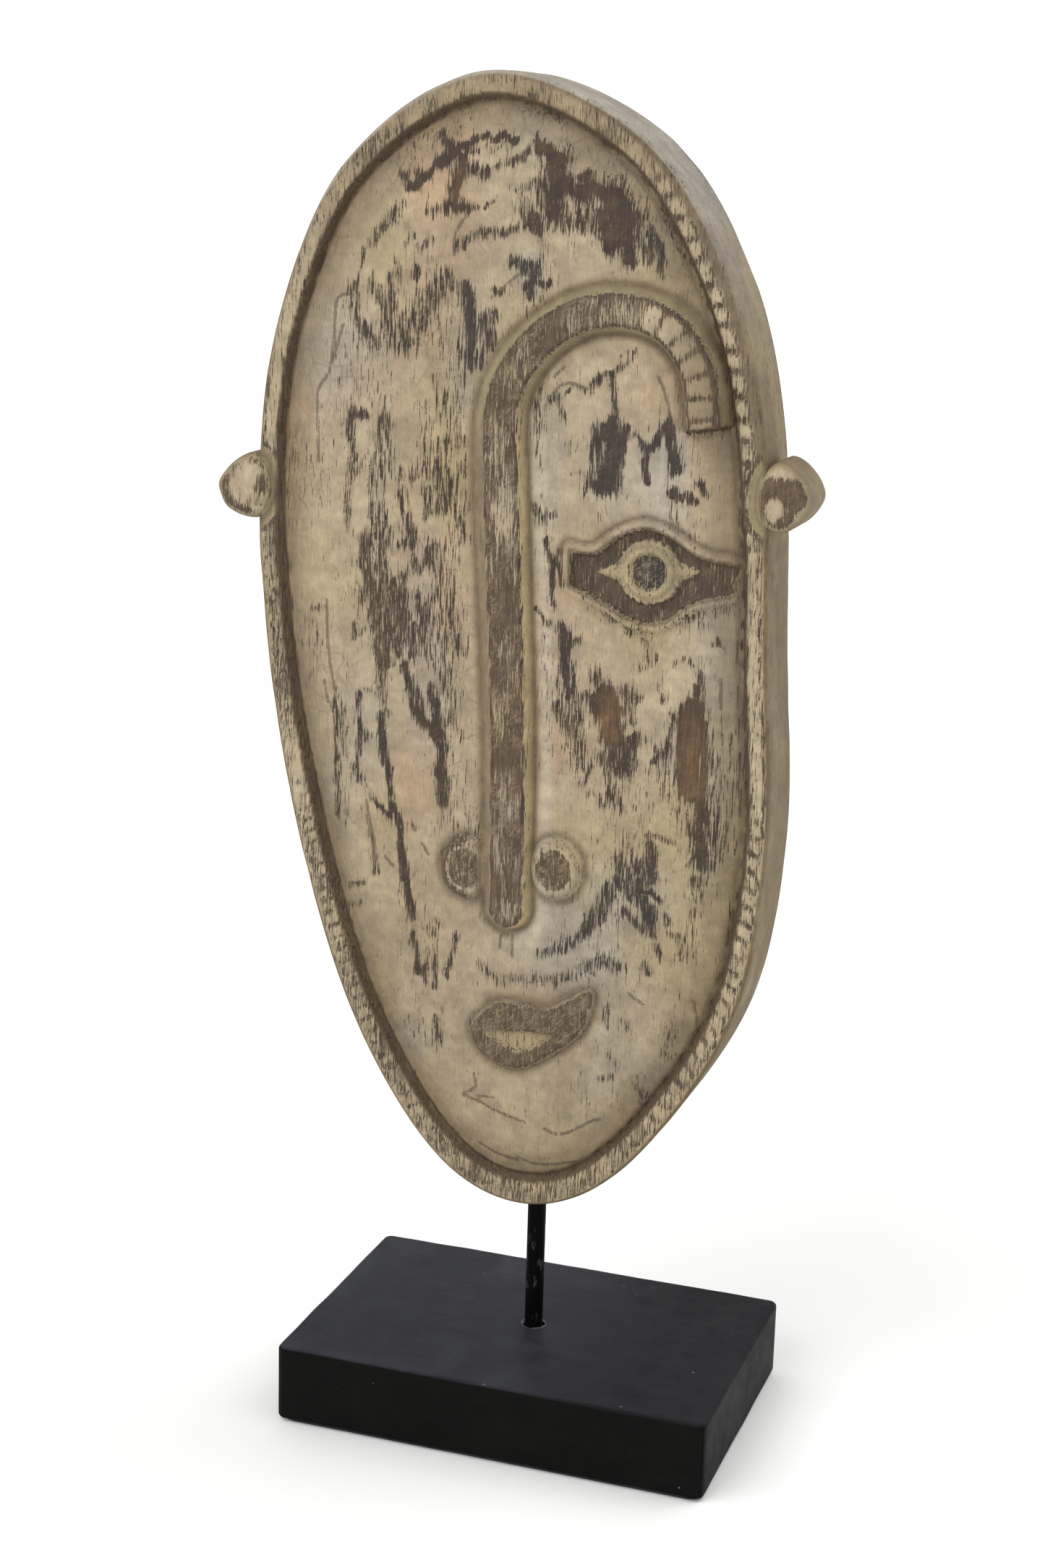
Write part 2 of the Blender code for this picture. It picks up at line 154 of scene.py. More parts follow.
# Worn strokes, each as (half width, strength, x, z, x, z, ...) along its middle
FOREHEAD_STROKES = (
    (1.6, 1.0, -78, 655, -68, 660, -60, 667, -56, 672, -48, 676, -38, 678, -22, 679),
    (0.9, 0.8, -61, 680, -57, 672), (0.9, 0.7, -83, 663, -77, 657, -70, 659),
    (3.4, 1.0, -50, 668, -52, 655, -52, 645), (2.6, 1.0, -56, 645, -46, 646),
    (2.4, 0.9, -52, 662, -36, 661), (1.6, 0.8, -34, 661, -24, 666), (1.8, 0.9, -24, 667, -15, 671),
    (1.6, 0.5, -40, 671, -25, 675), (2.0, 0.8, -50, 674, -42, 670),
    (1.4, 0.8, -46, 646, -38, 647, -32, 650), (1.2, 0.7, -28, 654, -24, 656), (1.6, 0.7, -20, 654, -8, 658),
    (2.0, 0.7, -66, 640, -60, 644), (2.0, 0.8, -50, 628, -43, 631), (1.6, 0.8, -40, 632, -34, 633),
    (2.0, 0.8, -32, 633, -21, 636), (0.8, 0.7, -52, 622, -50, 630), (5.5, 0.62, -16, 646, -11, 638),
    (2.4, 0.9, -10, 642, -10, 634), (2.0, 0.48, -69, 624, -64, 627),
    (2.4, 0.68, -96, 628, -90, 634, -82, 646), (1.4, 0.56, -79, 625, -75, 631, -77, 637),
    (1.2, 0.64, -101, 620, -103, 612, -107, 603), (1.0, 0.56, -96, 612, -96, 604),
    (0.9, 0.56, -93, 606, -93, 599), (1.2, 0.64, -83, 616, -82, 608), (1.6, 0.64, -86, 605, -84, 595),
    (1.1, 0.72, -72, 615, -72, 609), (4.5, 0.5, -55, 611, -62, 600, -68, 590),
    (3.0, 0.85, -21, 619, -10, 615), (1.3, 1.0, -11, 612, -12, 604), (1.4, 0.8, -15, 608, -2, 611),
    (1.2, 0.8, -9, 633, -8, 622, -11, 616), (1.1, 0.8, -30, 605, -26, 608), (2.2, 0.45, -18, 692, 2, 689),
    (4.5, 1.1, -9, 674, 0, 670), (8.0, 1.0, 1, 667, 1, 654), (5.0, 0.95, -5, 655, -1, 643),
    (3.0, 1.0, 8, 669, 14, 661), (6.0, 1.0, 10, 654, 26, 655), (6.5, 1.25, 28, 652, 36, 640),
    (7.0, 1.05, 24, 642, 31, 632), (3.2, 1.15, 36, 640, 38, 624), (6.0, 0.75, 13, 642, 20, 646),
    (3.4, 0.75, -2, 642, 14, 638), (3.0, 0.65, 41, 638, 47, 625), (1.1, 0.8, 48, 637, 52, 630, 54, 617),
    (3.0, 0.4, 56, 645, 66, 628),
)
LEFT_CHEEK_STROKES = (
    (2.8, 0.72, -88, 610, -89, 592, -86, 580), (3.0, 0.48, -70, 600, -73, 588),
    (1.9, 0.64, -106, 600, -104, 590, -99, 582, -95, 577), (4.0, 0.58, -97, 578, -84, 577, -73, 577),
    (3.0, 0.6, -80, 589, -80, 579), (3.6, 0.44, -75, 585, -68, 588),
    (2.2, 1.0, -45, 606, -43, 590, -42, 566), (2.5, 0.7, -37, 590, -30, 592),
    (4.0, 0.68, -40, 586, -32, 582, -38, 570), (6.0, 0.51, -52, 574, -48, 556, -50, 532),
    (3.0, 0.41, -61, 562, -58, 545), (2.0, 0.66, -106, 541, -99, 542),
    (1.9, 0.78, -106, 538, -106, 518, -109, 495, -107, 482), (2.5, 0.74, -104, 512, -99, 505, -94, 496),
    (3.2, 0.61, -95, 520, -93, 488), (3.6, 0.57, -90, 538, -91, 505, -89, 478),
    (2.2, 0.49, -86, 535, -85, 512), (2.6, 0.78, -98, 480, -98, 462, -93, 442, -88, 410, -86, 388),
    (4.2, 0.61, -88, 490, -88, 464, -84, 425, -84, 412), (5.0, 0.7, -80, 458, -78, 440, -80, 420),
    (2.0, 0.78, -75, 489, -72, 480, -74, 473), (1.1, 0.82, -80, 474, -73, 473),
    (3.0, 0.49, -79, 510, -70, 512), (2.0, 0.66, -78, 502, -77, 490), (2.2, 0.66, -66, 502, -65, 492),
    (1.6, 0.74, -70, 468, -71, 458, -68, 448), (7.5, 0.56, -52, 552, -55, 520, -55, 470),
    (8.0, 0.7, -55, 462, -50, 425), (7.0, 0.57, -52, 425, -52, 400), (3.0, 0.49, -46, 520, -45, 480),
    (5.0, 0.39, -66, 545, -64, 515), (4.0, 0.49, -62, 505, -59, 478),
    (3.2, 0.7, -62, 472, -63, 430, -61, 412), (2.4, 0.74, -66, 442, -64, 424),
    (2.6, 0.66, -71, 432, -67, 402, -66, 384), (2.4, 0.95, -60, 402, -56, 385, -54, 368, -52, 343),
    (3.0, 0.49, -48, 405, -50, 388), (2.0, 0.9, -74, 412, -71, 392, -64, 382, -58, 378),
    (1.6, 0.7, -122, 440, -126, 437), (1.6, 0.66, -104, 432, -105, 426, -100, 428),
    (1.2, 0.49, -100, 452, -101, 434), (1.2, 0.8, -115, 396, -113, 362, -113, 328),
    (1.1, 0.7, -111, 390, -109, 360), (1.4, 0.57, -101, 395, -94, 397, -87, 396),
    (1.6, 0.8, -100, 394, -100, 375, -102, 353), (2.1, 1.0, -88, 386, -86, 364, -82, 340, -78, 327),
    (1.2, 0.8, -80, 356, -79, 344), (1.3, 0.9, -92, 340, -82, 331, -76, 322),
    (1.1, 0.7, -97, 352, -92, 341), (1.7, 1.0, -75, 326, -76, 312, -71, 288, -69, 276),
    (1.2, 1.0, -70, 328, -68, 323), (1.1, 0.7, -96, 327, -92, 315, -90, 299),
    (0.8, 0.6, -105, 290, -97, 292), (0.8, 0.6, -105, 279, -99, 280), (1.6, 0.7, -100, 375, -94, 372),
    (2.2, 0.8, -103, 357, -100, 351), (3.0, 0.4, -110, 385, -108, 325),
)
BROW_AND_EYE_STROKES = (
    (1.4, 0.8, 6, 556, 8, 545), (1.2, 0.7, 1, 553, 12, 560, 20, 558),
    (1.6, 0.9, 22, 562, 31, 568, 32, 560, 34, 546), (1.0, 0.8, 31, 568, 38, 574),
    (0.9, 0.7, 38, 576, 44, 577), (4.2, 0.9, 25, 538, 27, 522, 24, 512), (6.0, 1.15, 31, 541, 36, 530),
    (6.0, 1.05, 34, 530, 32, 515), (2.4, 1.0, 39, 541, 40, 524),
    (2.4, 1.0, 44, 536, 50, 532, 56, 536, 60, 546), (1.5, 1.0, 50, 534, 51, 515),
    (1.6, 1.0, 61, 546, 63, 535, 66, 521), (1.1, 0.8, 64, 512, 68, 508, 77, 508),
    (1.1, 0.8, 78, 517, 82, 512), (2.0, 0.5, 9, 532, 15, 530), (1.2, 0.5, 12, 518, 22, 517),
    (2.0, 0.45, -5, 560, -4, 520), (2.0, 0.7, -7, 500, -1, 492), (1.0, 0.7, 0, 497, 5, 496),
    (1.3, 0.9, 0, 482, 2, 475, 4, 460), (1.3, 0.8, 7, 478, 9, 464), (1.1, 0.6, 4, 458, 6, 452),
    (2.0, 0.6, 34, 448, 38, 444), (5.0, 0.4, 68, 452, 82, 447), (4.0, 0.45, 88, 460, 94, 454),
)
RIGHT_CHEEK_STROKES = (
    (1.1, 0.7, -3, 447, 3, 443), (2.3, 0.95, 10, 440, 12, 425, 15, 408), (1.6, 0.8, 18, 433, 14, 430),
    (3.0, 0.8, 14, 420, 16, 406), (2.6, 0.6, 10, 398, 14, 388, 20, 382),
    (5.0, 0.55, 20, 405, 18, 390, 24, 371), (2.0, 0.8, 28, 421, 30, 410), (4.0, 1.0, 28, 405, 33, 395),
    (5.5, 1.15, 34, 408, 38, 395, 40, 384), (4.0, 0.85, 45, 410, 50, 405, 50, 394),
    (4.0, 0.85, 50, 388, 45, 372), (5.0, 0.85, 40, 380, 42, 372), (2.5, 0.75, 33, 375, 37, 362, 40, 354),
    (1.2, 0.6, 24, 360, 28, 370, 34, 374), (1.1, 0.5, 25, 358, 36, 350), (1.6, 0.7, 44, 350, 46, 349),
    (2.0, 0.6, 44, 367, 48, 366), (2.8, 0.6, 45, 441, 51, 440), (3.0, 0.45, 54, 438, 57, 430, 52, 424),
    (0.9, 0.8, 90, 440, 93, 437), (1.3, 0.8, 65, 421, 64, 411), (1.1, 0.8, 65, 408, 70, 399, 73, 397),
    (1.1, 0.8, 70, 393, 65, 380, 61, 375), (1.0, 0.6, 67, 425, 73, 430, 79, 428),
    (1.6, 0.7, 81, 428, 83, 415, 85, 402), (1.4, 1.1, 81, 413, 81, 410),
    (6.5, 1.15, 79, 403, 78, 380, 81, 362), (5.0, 0.95, 84, 395, 86, 360, 86, 348),
    (4.0, 0.85, 83, 347, 88, 325), (3.0, 0.55, 92, 382, 94, 360, 92, 338), (5.0, 0.35, 97, 400, 98, 330),
    (4.0, 0.5, 64, 380, 72, 354), (1.6, 0.8, 60, 336, 62, 320), (0.9, 0.7, 65, 337, 72, 332),
    (2.5, 0.65, 44, 322, 46, 308), (3.0, 0.58, 50, 316, 52, 304), (3.0, 0.78, 56, 320, 58, 301),
    (2.0, 0.9, 62, 326, 63, 311), (1.2, 1.0, 57, 305, 67, 304), (2.6, 0.75, 62, 297, 64, 284),
    (1.6, 0.8, 49, 293, 59, 288), (1.5, 0.6, 70, 294, 72, 289), (3.4, 0.62, 40, 304, 35, 292, 29, 281),
    (3.0, 0.6, 29, 283, 24, 277, 19, 274), (0.9, 0.7, 66, 279, 69, 269),
    (1.0, 0.7, 74, 282, 80, 285, 78, 277), (3.0, 0.5, 86, 312, 84, 290, 82, 274),
)
CHIN_STROKES = (
    (1.3, 0.9, -68, 265, -64, 245), (0.9, 0.9, -61, 248, -61, 241), (1.3, 0.75, -56, 275, -55, 240),
    (0.9, 0.5, -60, 272, -59, 248), (1.3, 0.8, -44, 268, -48, 247), (2.2, 0.6, -57, 230, -52, 228),
    (2.0, 0.7, -55, 222, -50, 210), (1.1, 0.5, -56, 215, -54, 204), (3.0, 0.4, -74, 220, -58, 205),
    (2.5, 0.65, 16, 270, 4, 266), (3.0, 0.66, 46, 264, 38, 266, 26, 258),
    (2.1, 0.65, 25, 256, 12, 252, 2, 252), (2.1, 0.65, -31, 259, -26, 252, -17, 247),
    (2.4, 0.55, -15, 250, -4, 252), (0.9, 0.7, 60, 269, 62, 262), (1.6, 0.5, 40, 241, 41, 230),
    (1.6, 0.5, 52, 235, 53, 232), (1.6, 0.5, 42, 213, 47, 208), (1.5, 0.7, 38, 202, 44, 203),
    (3.0, 0.45, 27, 192, 33, 184), (3.0, 0.45, 75, 236, 72, 220), (3.0, 0.5, 59, 202, 62, 190),
)
WORN_STROKES = (
    *FOREHEAD_STROKES, *LEFT_CHEEK_STROKES, *BROW_AND_EYE_STROKES, *RIGHT_CHEEK_STROKES, *CHIN_STROKES,
)

# Soft areas of other colours, as (x, z, half width, half height, tilt in degrees, strength)
COOL_PATCHES = (
    (20, 266, 46, 26, 20, 0.9), (52, 300, 24, 24, 0, 0.8), (-44, 570, 14, 34, 0, 0.7),
    (30, 525, 14, 26, 0, 0.6), (58, 528, 14, 22, 0, 0.7), (60, 636, 18, 14, 0, 0.8),
    (-12, 616, 10, 10, 0, 0.8), (10, 420, 12, 30, 0, 0.5), (-72, 205, 14, 14, 0, 0.8),
    (40, 212, 16, 24, 0, 0.7), (4, 520, 6, 40, 0, 0.6), (-100, 375, 14, 30, 0, 0.5),
)
RED_PATCHES = (
    (38, 396, 9, 18, 0, 1.0), (81, 378, 9, 32, 0, 1.0), (-8, 668, 10, 9, 0, 0.3),
    (26, 646, 10, 16, -30, 0.2), (-88, 440, 14, 40, 0, 0.35), (-52, 655, 5, 16, 0, 0.4),
)
PINK_PATCHES = (
    (-70, 352, 14, 40, 8, 1.0), (-112, 560, 16, 30, 0, 0.6), (2, 420, 10, 60, 0, 0.6),
    (70, 270, 30, 40, 0, 0.6), (60, 340, 30, 30, 0, 0.5), (-80, 466, 8, 7, 0, 0.8),
    (20, 460, 24, 30, 0, 0.6), (-66, 420, 6, 20, 0, 0.7), (-60, 290, 14, 40, 0, 0.5),
    (-64, 660, 16, 14, 0, 0.4), (60, 560, 20, 20, 0, 0.5),
)
CREAM_BLOBS = (
    (-79, 466, 7, 6, 0, 1.0), (-60, 485, 6, 6, 0, 1.0), (-70, 496, 6, 10, 0, 1.0),
    (-100, 528, 3, 9, 0, 1.0), (-101, 495, 5, 14, 0, 1.0), (-79, 400, 6, 11, 0, 1.0),
    (-70, 350, 11, 30, -8, 1.0), (-38, 654, 10, 5, 0, 1.0), (-14, 626, 7, 6, 0, 1.0),
    (-64, 456, 4, 9, 0, 0.9), (12, 668, 8, 4, -30, 0.9), (-66, 410, 4, 8, 0, 0.9), (-71, 456, 3, 8, 0, 0.8),
    (54, 397, 5, 9, 0, 1.0), (14, 550, 5, 6, 0, 0.9), (26, 553, 5, 6, 0, 0.8), (44, 528, 4, 9, 0, 0.9),
    (-92, 352, 6, 12, -15, 0.9), (32, 362, 5, 6, 0, 0.9), (-94, 385, 5, 8, 0, 0.9),
    (50, 390, 5, 2, -20, 0.9), (-81, 485, 4, 10, 0, 0.9), (70, 416, 6, 12, 0, 0.9),
    (-26, 662, 12, 3, -20, 0.6),
)
CRACKS = (
    (
        (-107, 600), (-112, 600), (-116, 596), (-117, 580), (-118, 570), (-120, 560), (-125, 553),
        (-126, 545), (-125, 515),
    ),
    ((-112, 585), (-118, 566)),
    ((-83, 663), (-80, 655)),
    ((-46, 642), (-52, 632), (-52, 622)),
    ((-120, 443), (-119, 420), (-117, 405), (-115, 395)),
    ((-121, 400), (-119, 388)),
    ((-32, 602), (-24, 609), (-18, 614)),
    ((0, 555), (8, 562), (20, 560)),
    ((2, 565), (7, 570)),
    ((55, 568), (60, 556), (62, 546)),
    ((0, 500), (0, 480)),
    ((-96, 338), (-92, 315), (-91, 300)),
    ((-85, 308), (-80, 303)),
    ((90, 350), (88, 335), (80, 322)),
    ((93, 420), (94, 405)),
    ((100, 440), (103, 400), (106, 350)),
    ((-38, 181), (-31, 186), (-32, 194)),
    ((-30, 181), (-20, 182)),
    ((-38, 180), (-28, 178), (-18, 174), (-2, 170)),
    ((8, 168), (14, 166), (20, 167), (28, 172), (34, 176), (39, 178)),
    ((-6, 149), (4, 146), (16, 148), (30, 152)),
    ((-30, 154), (-18, 149), (-6, 147)),
    ((-12, 278), (-12, 262)),
    ((-18, 278), (-19, 266)),
    ((86, 250), (90, 232)),
    ((52, 250), (60, 245)),
    ((-106, 290), (-97, 292)),
    ((-64, 318), (-60, 312)),
)

# The rim, by how far along the outline from the bottom tip: up the left side, over the top, down the right.
# Its width, how many blocks have gone by, how strong the straight and the slanting cuts between blocks are,
# how much of its paint is worn, how brown the rest is, how wide the brown band outside the blocks is, how
# dark its two borders are, and how far the groove's brown painted shade reaches onto the panel.
RIM_PLACES = (
    0, 60, 190, 262, 275, 300, 315, 400, 425, 470, 560, 610, 700, 790, 830, 870, 990, 1020, 1130, 1160,
    1340, 1414,
)
RIM_WIDTHS = (
    15.5, 14.5, 14, 14, 14, 13.5, 13, 12.5, 12, 12, 12, 12.5, 13.5, 15, 16, 16.5, 14.5, 13, 13, 13, 14,
    15.5,
)
RIM_BLOCKS = (0, 0, 0, 0, 0, 0, 0, 0, 0, 0, 0, 0, 0, 0, 3.2, 6.5, 16.8, 20, 31, 34.3, 54.3, 62.5)
RIM_RIGHT_GAPS = (0.2, 0, 0, 0, 0, 0, 0, 0, 0, 0, 0, 0, 0, 0, 0.9, 1, 1, 0.3, 0.1, 0.8, 0.7, 0.2)
RIM_LEFT_GAPS = (0.5, 0.7, 0.85, 0.7, 0.1, 0.1, 0.6, 0.6, 0.5, 0, 0, 0.2, 0, 0, 0, 0, 0, 0, 0, 0, 0.3, 0.4)
RIM_WEAR = (
    0.4, 0.4, 0.4, 0.35, -0.1, -0.1, 0.35, 0.4, 0.36, 0.1, 0.0, 0.25, 0.15, 0.1, 0.0, -0.1, -0.1, 0.2, -0.4,
    -0.1, 0.3, 0.4,
)
RIM_BROWN = (
    0.5, 0.5, 0.4, 0.3, 0, 0, 0.4, 0.6, 0.6, 0.2, 0.3, 0.7, 0.8, 0.9, 0.5, 0.1, 0.1, 0.4, 0, 0.2, 0.4, 0.5,
)
RIM_BANDS = (2, 2, 2, 2, 2, 2, 2, 2, 2, 2, 2, 2, 3, 4.5, 5.5, 6.5, 4.5, 2.5, 2, 2, 2, 2)
RIM_BORDERS = (
    0.4, 0.3, 0.3, 0.3, 0.3, 0.3, 0.4, 0.4, 0.6, 0.5, 0.5, 0.4, 0.3, 0.2, 0.5, 0.8, 0.8, 0.8, 0.9, 0.6, 0.5,
    0.4,
)
RIM_GROOVE_REACH = (
    2.2, 3.2, 3.4, 3.2, 3, 3, 3, 3, 2, 0.8, 0.8, 0.8, 0.8, 0.4, 0.2, 0.2, 0.2, 0.2, 0.2, 0.6, 1.6, 2.2,
)

# Cream patches on the ears' worn fronts, and a crack in each
LEFT_EAR_PATCHES = ((-168, 500, 9, 10.5, 0, 1.0), (-164, 507, 7, 7, 0, 1.0), (-160, 492, 5, 7, 0, 0.8))
RIGHT_EAR_PATCHES = ((116, 506, 5.5, 6, 0, 1.0), (118, 525, 8, 4, 10, 1.0), (130, 504, 3, 9, 30, 0.9))
LEFT_EAR_CRACK = ((-159, 505), (-158, 498), (-160, 490))
RIGHT_EAR_CRACK = ((109, 515), (108.5, 508), (111, 501))

# Camera: its aim is an offset from the middle of the object's box, in metres
CAMERA_AZIMUTH = 18.7
CAMERA_ELEVATION = 14.1
CAMERA_ROLL = 1.6
CAMERA_LENS = 58.6
CAMERA_DISTANCE = 1.331
CAMERA_AIM = (0.0118, -0.014, -0.002)

# Light: the sky's strength, and each sun as (name, the way that it shines, strength, spread in degrees)
SKY = 0.8
SUNS = (
    ("key", (0.65, 1.0, -0.95), 1.78, 50),
    ("back", (-0.7, -0.45, -1.2), 0.7, 40),
)
STAGE_RADIUS = 4.5
STAGE_SWEEP = 2.0
STAGE_WALL = 3.5
STAGE_SIDES = 96

# Colours of the paint and of the wood under it
CREAM = "a6967c"
CREAM_WARM = "a88e71"
# Pale cream for a painted highlight strip beside the nose
CREAM_HIGHLIGHT = "b6aa95"
CREAM_YELLOW = "a2926c"
CREAM_GREY = "9d978b"
CREAM_DARK = "84765e"
RIM_CREAM = "b1a184"
# Olive used as painted shade in recesses and in the cove beside the groove
OLIVE_SHADE = "6b5b42"
OLIVE_PALE = "8f8263"
# Brown for painted shade lines in the carved creases
SHADE_LINE_BROWN = "4e3f2f"
SIDE = "6d5c3f"
# Paler tone for the side's upper part, painted light where it turns upward
SIDE_TOP_LIT = "989084"
BACK = "66563d"
WOOD = "3b2a18"
WOOD_COOL = "342d28"
WOOD_RED = "5e4428"
STAIN = "59452e"
RIM_DARK = "4f3e2a"
RIM_BROWN_PAINT = "8f7d62"
BAND_BROWN = "62533f"
# Brown for painted shade in the groove inside the rim
GROOVE_SHADE_BROWN = "5c4b34"
# The nose's olive slopes drawn darker on the left as painted shadow and paler on the right as painted
# highlight
SLOPE_SHADOW_BROWN = "806e57"
SLOPE_HIGHLIGHT_YELLOW = "bda97f"
EYE_GROUND = "4d3d2a"
IRIS_CREAM = "a39372"
DRY_PAINT = "94856c"

# Colours of the base: its sides, its top from darkest to palest, its grain and its chips. The top's tones
# are painted paler than the sides as a painted sheen, and its darkest tone is a painted shadow.
BASE_SIDE = "060605"
BASE_SIDE_DUSTY = "0e0e0c"
BASE_TOP_SHADED = "17181b"
BASE_TOP_SHEEN = "202125"
BASE_TOP_SHEEN_DUSTY = "2f3035"
BASE_TOP_SHEEN_SMEARED = "36373c"
BASE_GRAIN = "161618"
BASE_CHIPPED = "7b7a74"

# Colours of the rod, the washer and the nut, the felt and the floor
ROD_BLACK = "050505"
ROD_RUBBED = "45433f"
ZINC_DARK = "8f9092"
ZINC_PALE = "b9bab8"
FELT_DARK = "141414"
FELT_PALE = "2c2c2c"
FLOOR_DARK = "f1f1f0"
FLOOR_PALE = "f5f5f4"


# ---------------------------------------------------------------- curves, distances and noise


def spline(corners, closed, span_points=24):
    """Points along a smooth curve through the corners."""
    points = np.array(corners, float)
    if closed:
        padded = np.vstack([points[-1], points, points[:2]])
    else:
        padded = np.vstack([2 * points[0] - points[1], points, 2 * points[-1] - points[-2]])
    t = (np.arange(span_points) / span_points)[:, None]
    curve = []
    for before, start, end, after in zip(padded, padded[1:], padded[2:], padded[3:]):
        curve.append(0.5 * (
            2 * start
            + (end - before) * t
            + (2 * before - 5 * start + 4 * end - after) * t**2
            + (3 * start - before - 3 * end + after) * t**3
        ))
    return np.vstack(curve) if closed else np.vstack([*curve, points[-1]])


def nearest_on_line(points, line, closed):
    """For each point: its distance to the line, its side, how far along it is, and its foot on the line."""
    tree = KDTree(len(line))
    for index, (x, z) in enumerate(line):
        tree.insert((x, z, 0), index)
    tree.balance()
    nearest = np.array([tree.find((x, z, 0))[1] for x, z in points])
    count = len(line)
    lengths = np.linalg.norm(np.roll(line, -1, axis=0) - line, axis=1)
    travelled = np.concatenate([[0], np.cumsum(lengths)[:-1]])
    distance = np.full(len(points), np.inf)
    side = np.ones(len(points))
    along = np.zeros(len(points))
    foot = np.zeros_like(points)
    for step in (-1, 0):
        start = nearest + step
        start = start % count if closed else np.clip(start, 0, count - 2)
        origin = line[start]
        run = line[(start + 1) % count] - origin
        offset = points - origin
        t = np.clip((offset * run).sum(1) / (run * run).sum(1), 0, 1)
        gap = offset - t[:, None] * run
        apart = np.hypot(gap[:, 0], gap[:, 1])
        nearer = apart < distance
        distance[nearer] = apart[nearer]
        turn = run[:, 1] * offset[:, 0] - run[:, 0] * offset[:, 1]
        side[nearer] = np.where(turn[nearer] > 0, 1.0, -1.0)
        along[nearer] = (travelled[start] + t * lengths[start])[nearer]
        foot[nearer] = (origin + t[:, None] * run)[nearer]
    return distance, side, along, foot


def depth_inside(points, line):
    """How far each point is inside a closed line; negative outside it."""
    distance, side, _, _ = nearest_on_line(points, line, closed=True)
    after = np.roll(line, -1, axis=0)
    clockwise = (line[:, 0] * after[:, 1] - after[:, 0] * line[:, 1]).sum() < 0
    return distance * side * (1 if clockwise else -1)


def rise(value, low, high):
    """0 below low and 1 above high, with a smooth step between."""
    t = np.clip((value - low) / (high - low), 0, 1)
    return t * t * (3 - 2 * t)


def bump(value, centre, width):
    """A smooth hump of height 1 at the centre."""
    return np.exp(-((value - centre) / width) ** 2)


def lumps(x, z, size_x, size_z, seed):
    """Smooth noise from -1 to 1, whose lumps are about this size."""
    cells = 64
    lattice = np.random.default_rng(seed).uniform(-1, 1, (cells, cells))
    u, v = x / size_x + 500.5, z / size_z + 500.5
    i, j = np.floor(u).astype(int), np.floor(v).astype(int)
    fu, fv = u - i, v - j
    fu, fv = fu * fu * (3 - 2 * fu), fv * fv * (3 - 2 * fv)
    corner = [[lattice[(i + a) % cells, (j + b) % cells] for b in (0, 1)] for a in (0, 1)]
    low = corner[0][0] * (1 - fu) + corner[1][0] * fu
    high = corner[0][1] * (1 - fu) + corner[1][1] * fu
    return low * (1 - fv) + high * fv


def patches(x, z, shapes):
    """The strongest of these soft tilted ellipses at each point, from 0 to 1."""
    total = np.zeros_like(x)
    for centre_x, centre_z, half_width, half_height, tilt, strength in shapes:
        lean = math.radians(tilt)
        dx, dz = x - centre_x, z - centre_z
        across = dx * math.cos(lean) - dz * math.sin(lean)
        up = dx * math.sin(lean) + dz * math.cos(lean)
        reach = np.hypot(across / half_width, up / half_height)
        total = np.maximum(total, strength * (1 - rise(reach, 0.35, 1.45)))
    return total


def strokes(x, z, shapes):
    """The strongest of these soft strokes at each point, from 0 to a little over 1."""
    total = np.zeros_like(x)
    for half_width, strength, *places in shapes:
        line = np.array(places, float).reshape(-1, 2)
        for start, end in zip(line, line[1:]):
            run = end - start
            t = np.clip(((x - start[0]) * run[0] + (z - start[1]) * run[1]) / (run @ run), 0, 1)
            gap = np.hypot(x - start[0] - t * run[0], z - start[1] - t * run[1])
            total = np.maximum(total, strength * (1 - rise(gap / (1.2 * half_width + 1.0), 0.2, 1.5)))
    return total


# ---------------------------------------------------------------- the mask's relief


def panel_height(x, z, inward):
    """The face panel: a smooth cove beside the groove, and a slightly domed, hand-cut field."""
    height = PANEL_BORDER_HEIGHT + 2.2 * rise(inward, 3, 15)
    height += (PANEL_RISE - 2.2) * (1 - np.exp(-np.clip(inward - 8, 0, None) / 30))
    height += 0.45 * lumps(x, z, 34, 60, 1) * rise(inward, 4, 20)
    return height + 0.22 * lumps(x, z, 11, 20, 2) + 0.1 * lumps(x, z, 4, 9, 6)


def ridge_shape(points, panel):
    """Lift of the nose and brow, and where each point is beside and along them."""
    line = spline(RIDGE_LINE, closed=False)
    distance, side, along, _ = nearest_on_line(points, line, closed=False)
    total = np.linalg.norm(np.diff(line, axis=0), axis=1).sum()
    narrowing = (RIDGE_HALF_WIDTH_NOSE - RIDGE_HALF_WIDTH_BROW) * rise(along, 200, 320)
    half_width = RIDGE_HALF_WIDTH_NOSE - narrowing
    outside = distance - half_width
    heading = (line[-1] - line[-3]) / np.linalg.norm(line[-1] - line[-3])
    past_end = np.where(along > total - 20, (points - line[-1]) @ heading, -20.0)
    present = 1 - rise(past_end, -0.8, 0.8)
    outer_slope = np.interp(along, RIDGE_SLOPE_PLACES, RIDGE_OUTER_SLOPES)
    slope_width = np.where(side < 0, outer_slope, RIDGE_INNER_SLOPE)
    face = 1 - 0.14 * np.clip(distance / half_width, 0, 1) ** 2
    lift = (RIDGE_HEIGHT - panel) * face * (1 - rise(outside / slope_width, -0.1, 1))
    lift += 0.5 * bump(outside, -0.6, 0.8)
    lift -= 0.9 * bump(outside - slope_width, 1.0, 1.5)
    lift = lift * present - 0.9 * bump(past_end, 2.0, 1.3) * (outside < 3)
    facts = {
        "outside": np.where(past_end < 0.5, outside, np.maximum(outside, 12.0)),
        "side": side,
        "along": along,
        "slope": slope_width,
        "past_end": np.where(outside < 3, past_end, 20.0),
        "brow": rise(along, 230, 280),
    }
    return lift, facts


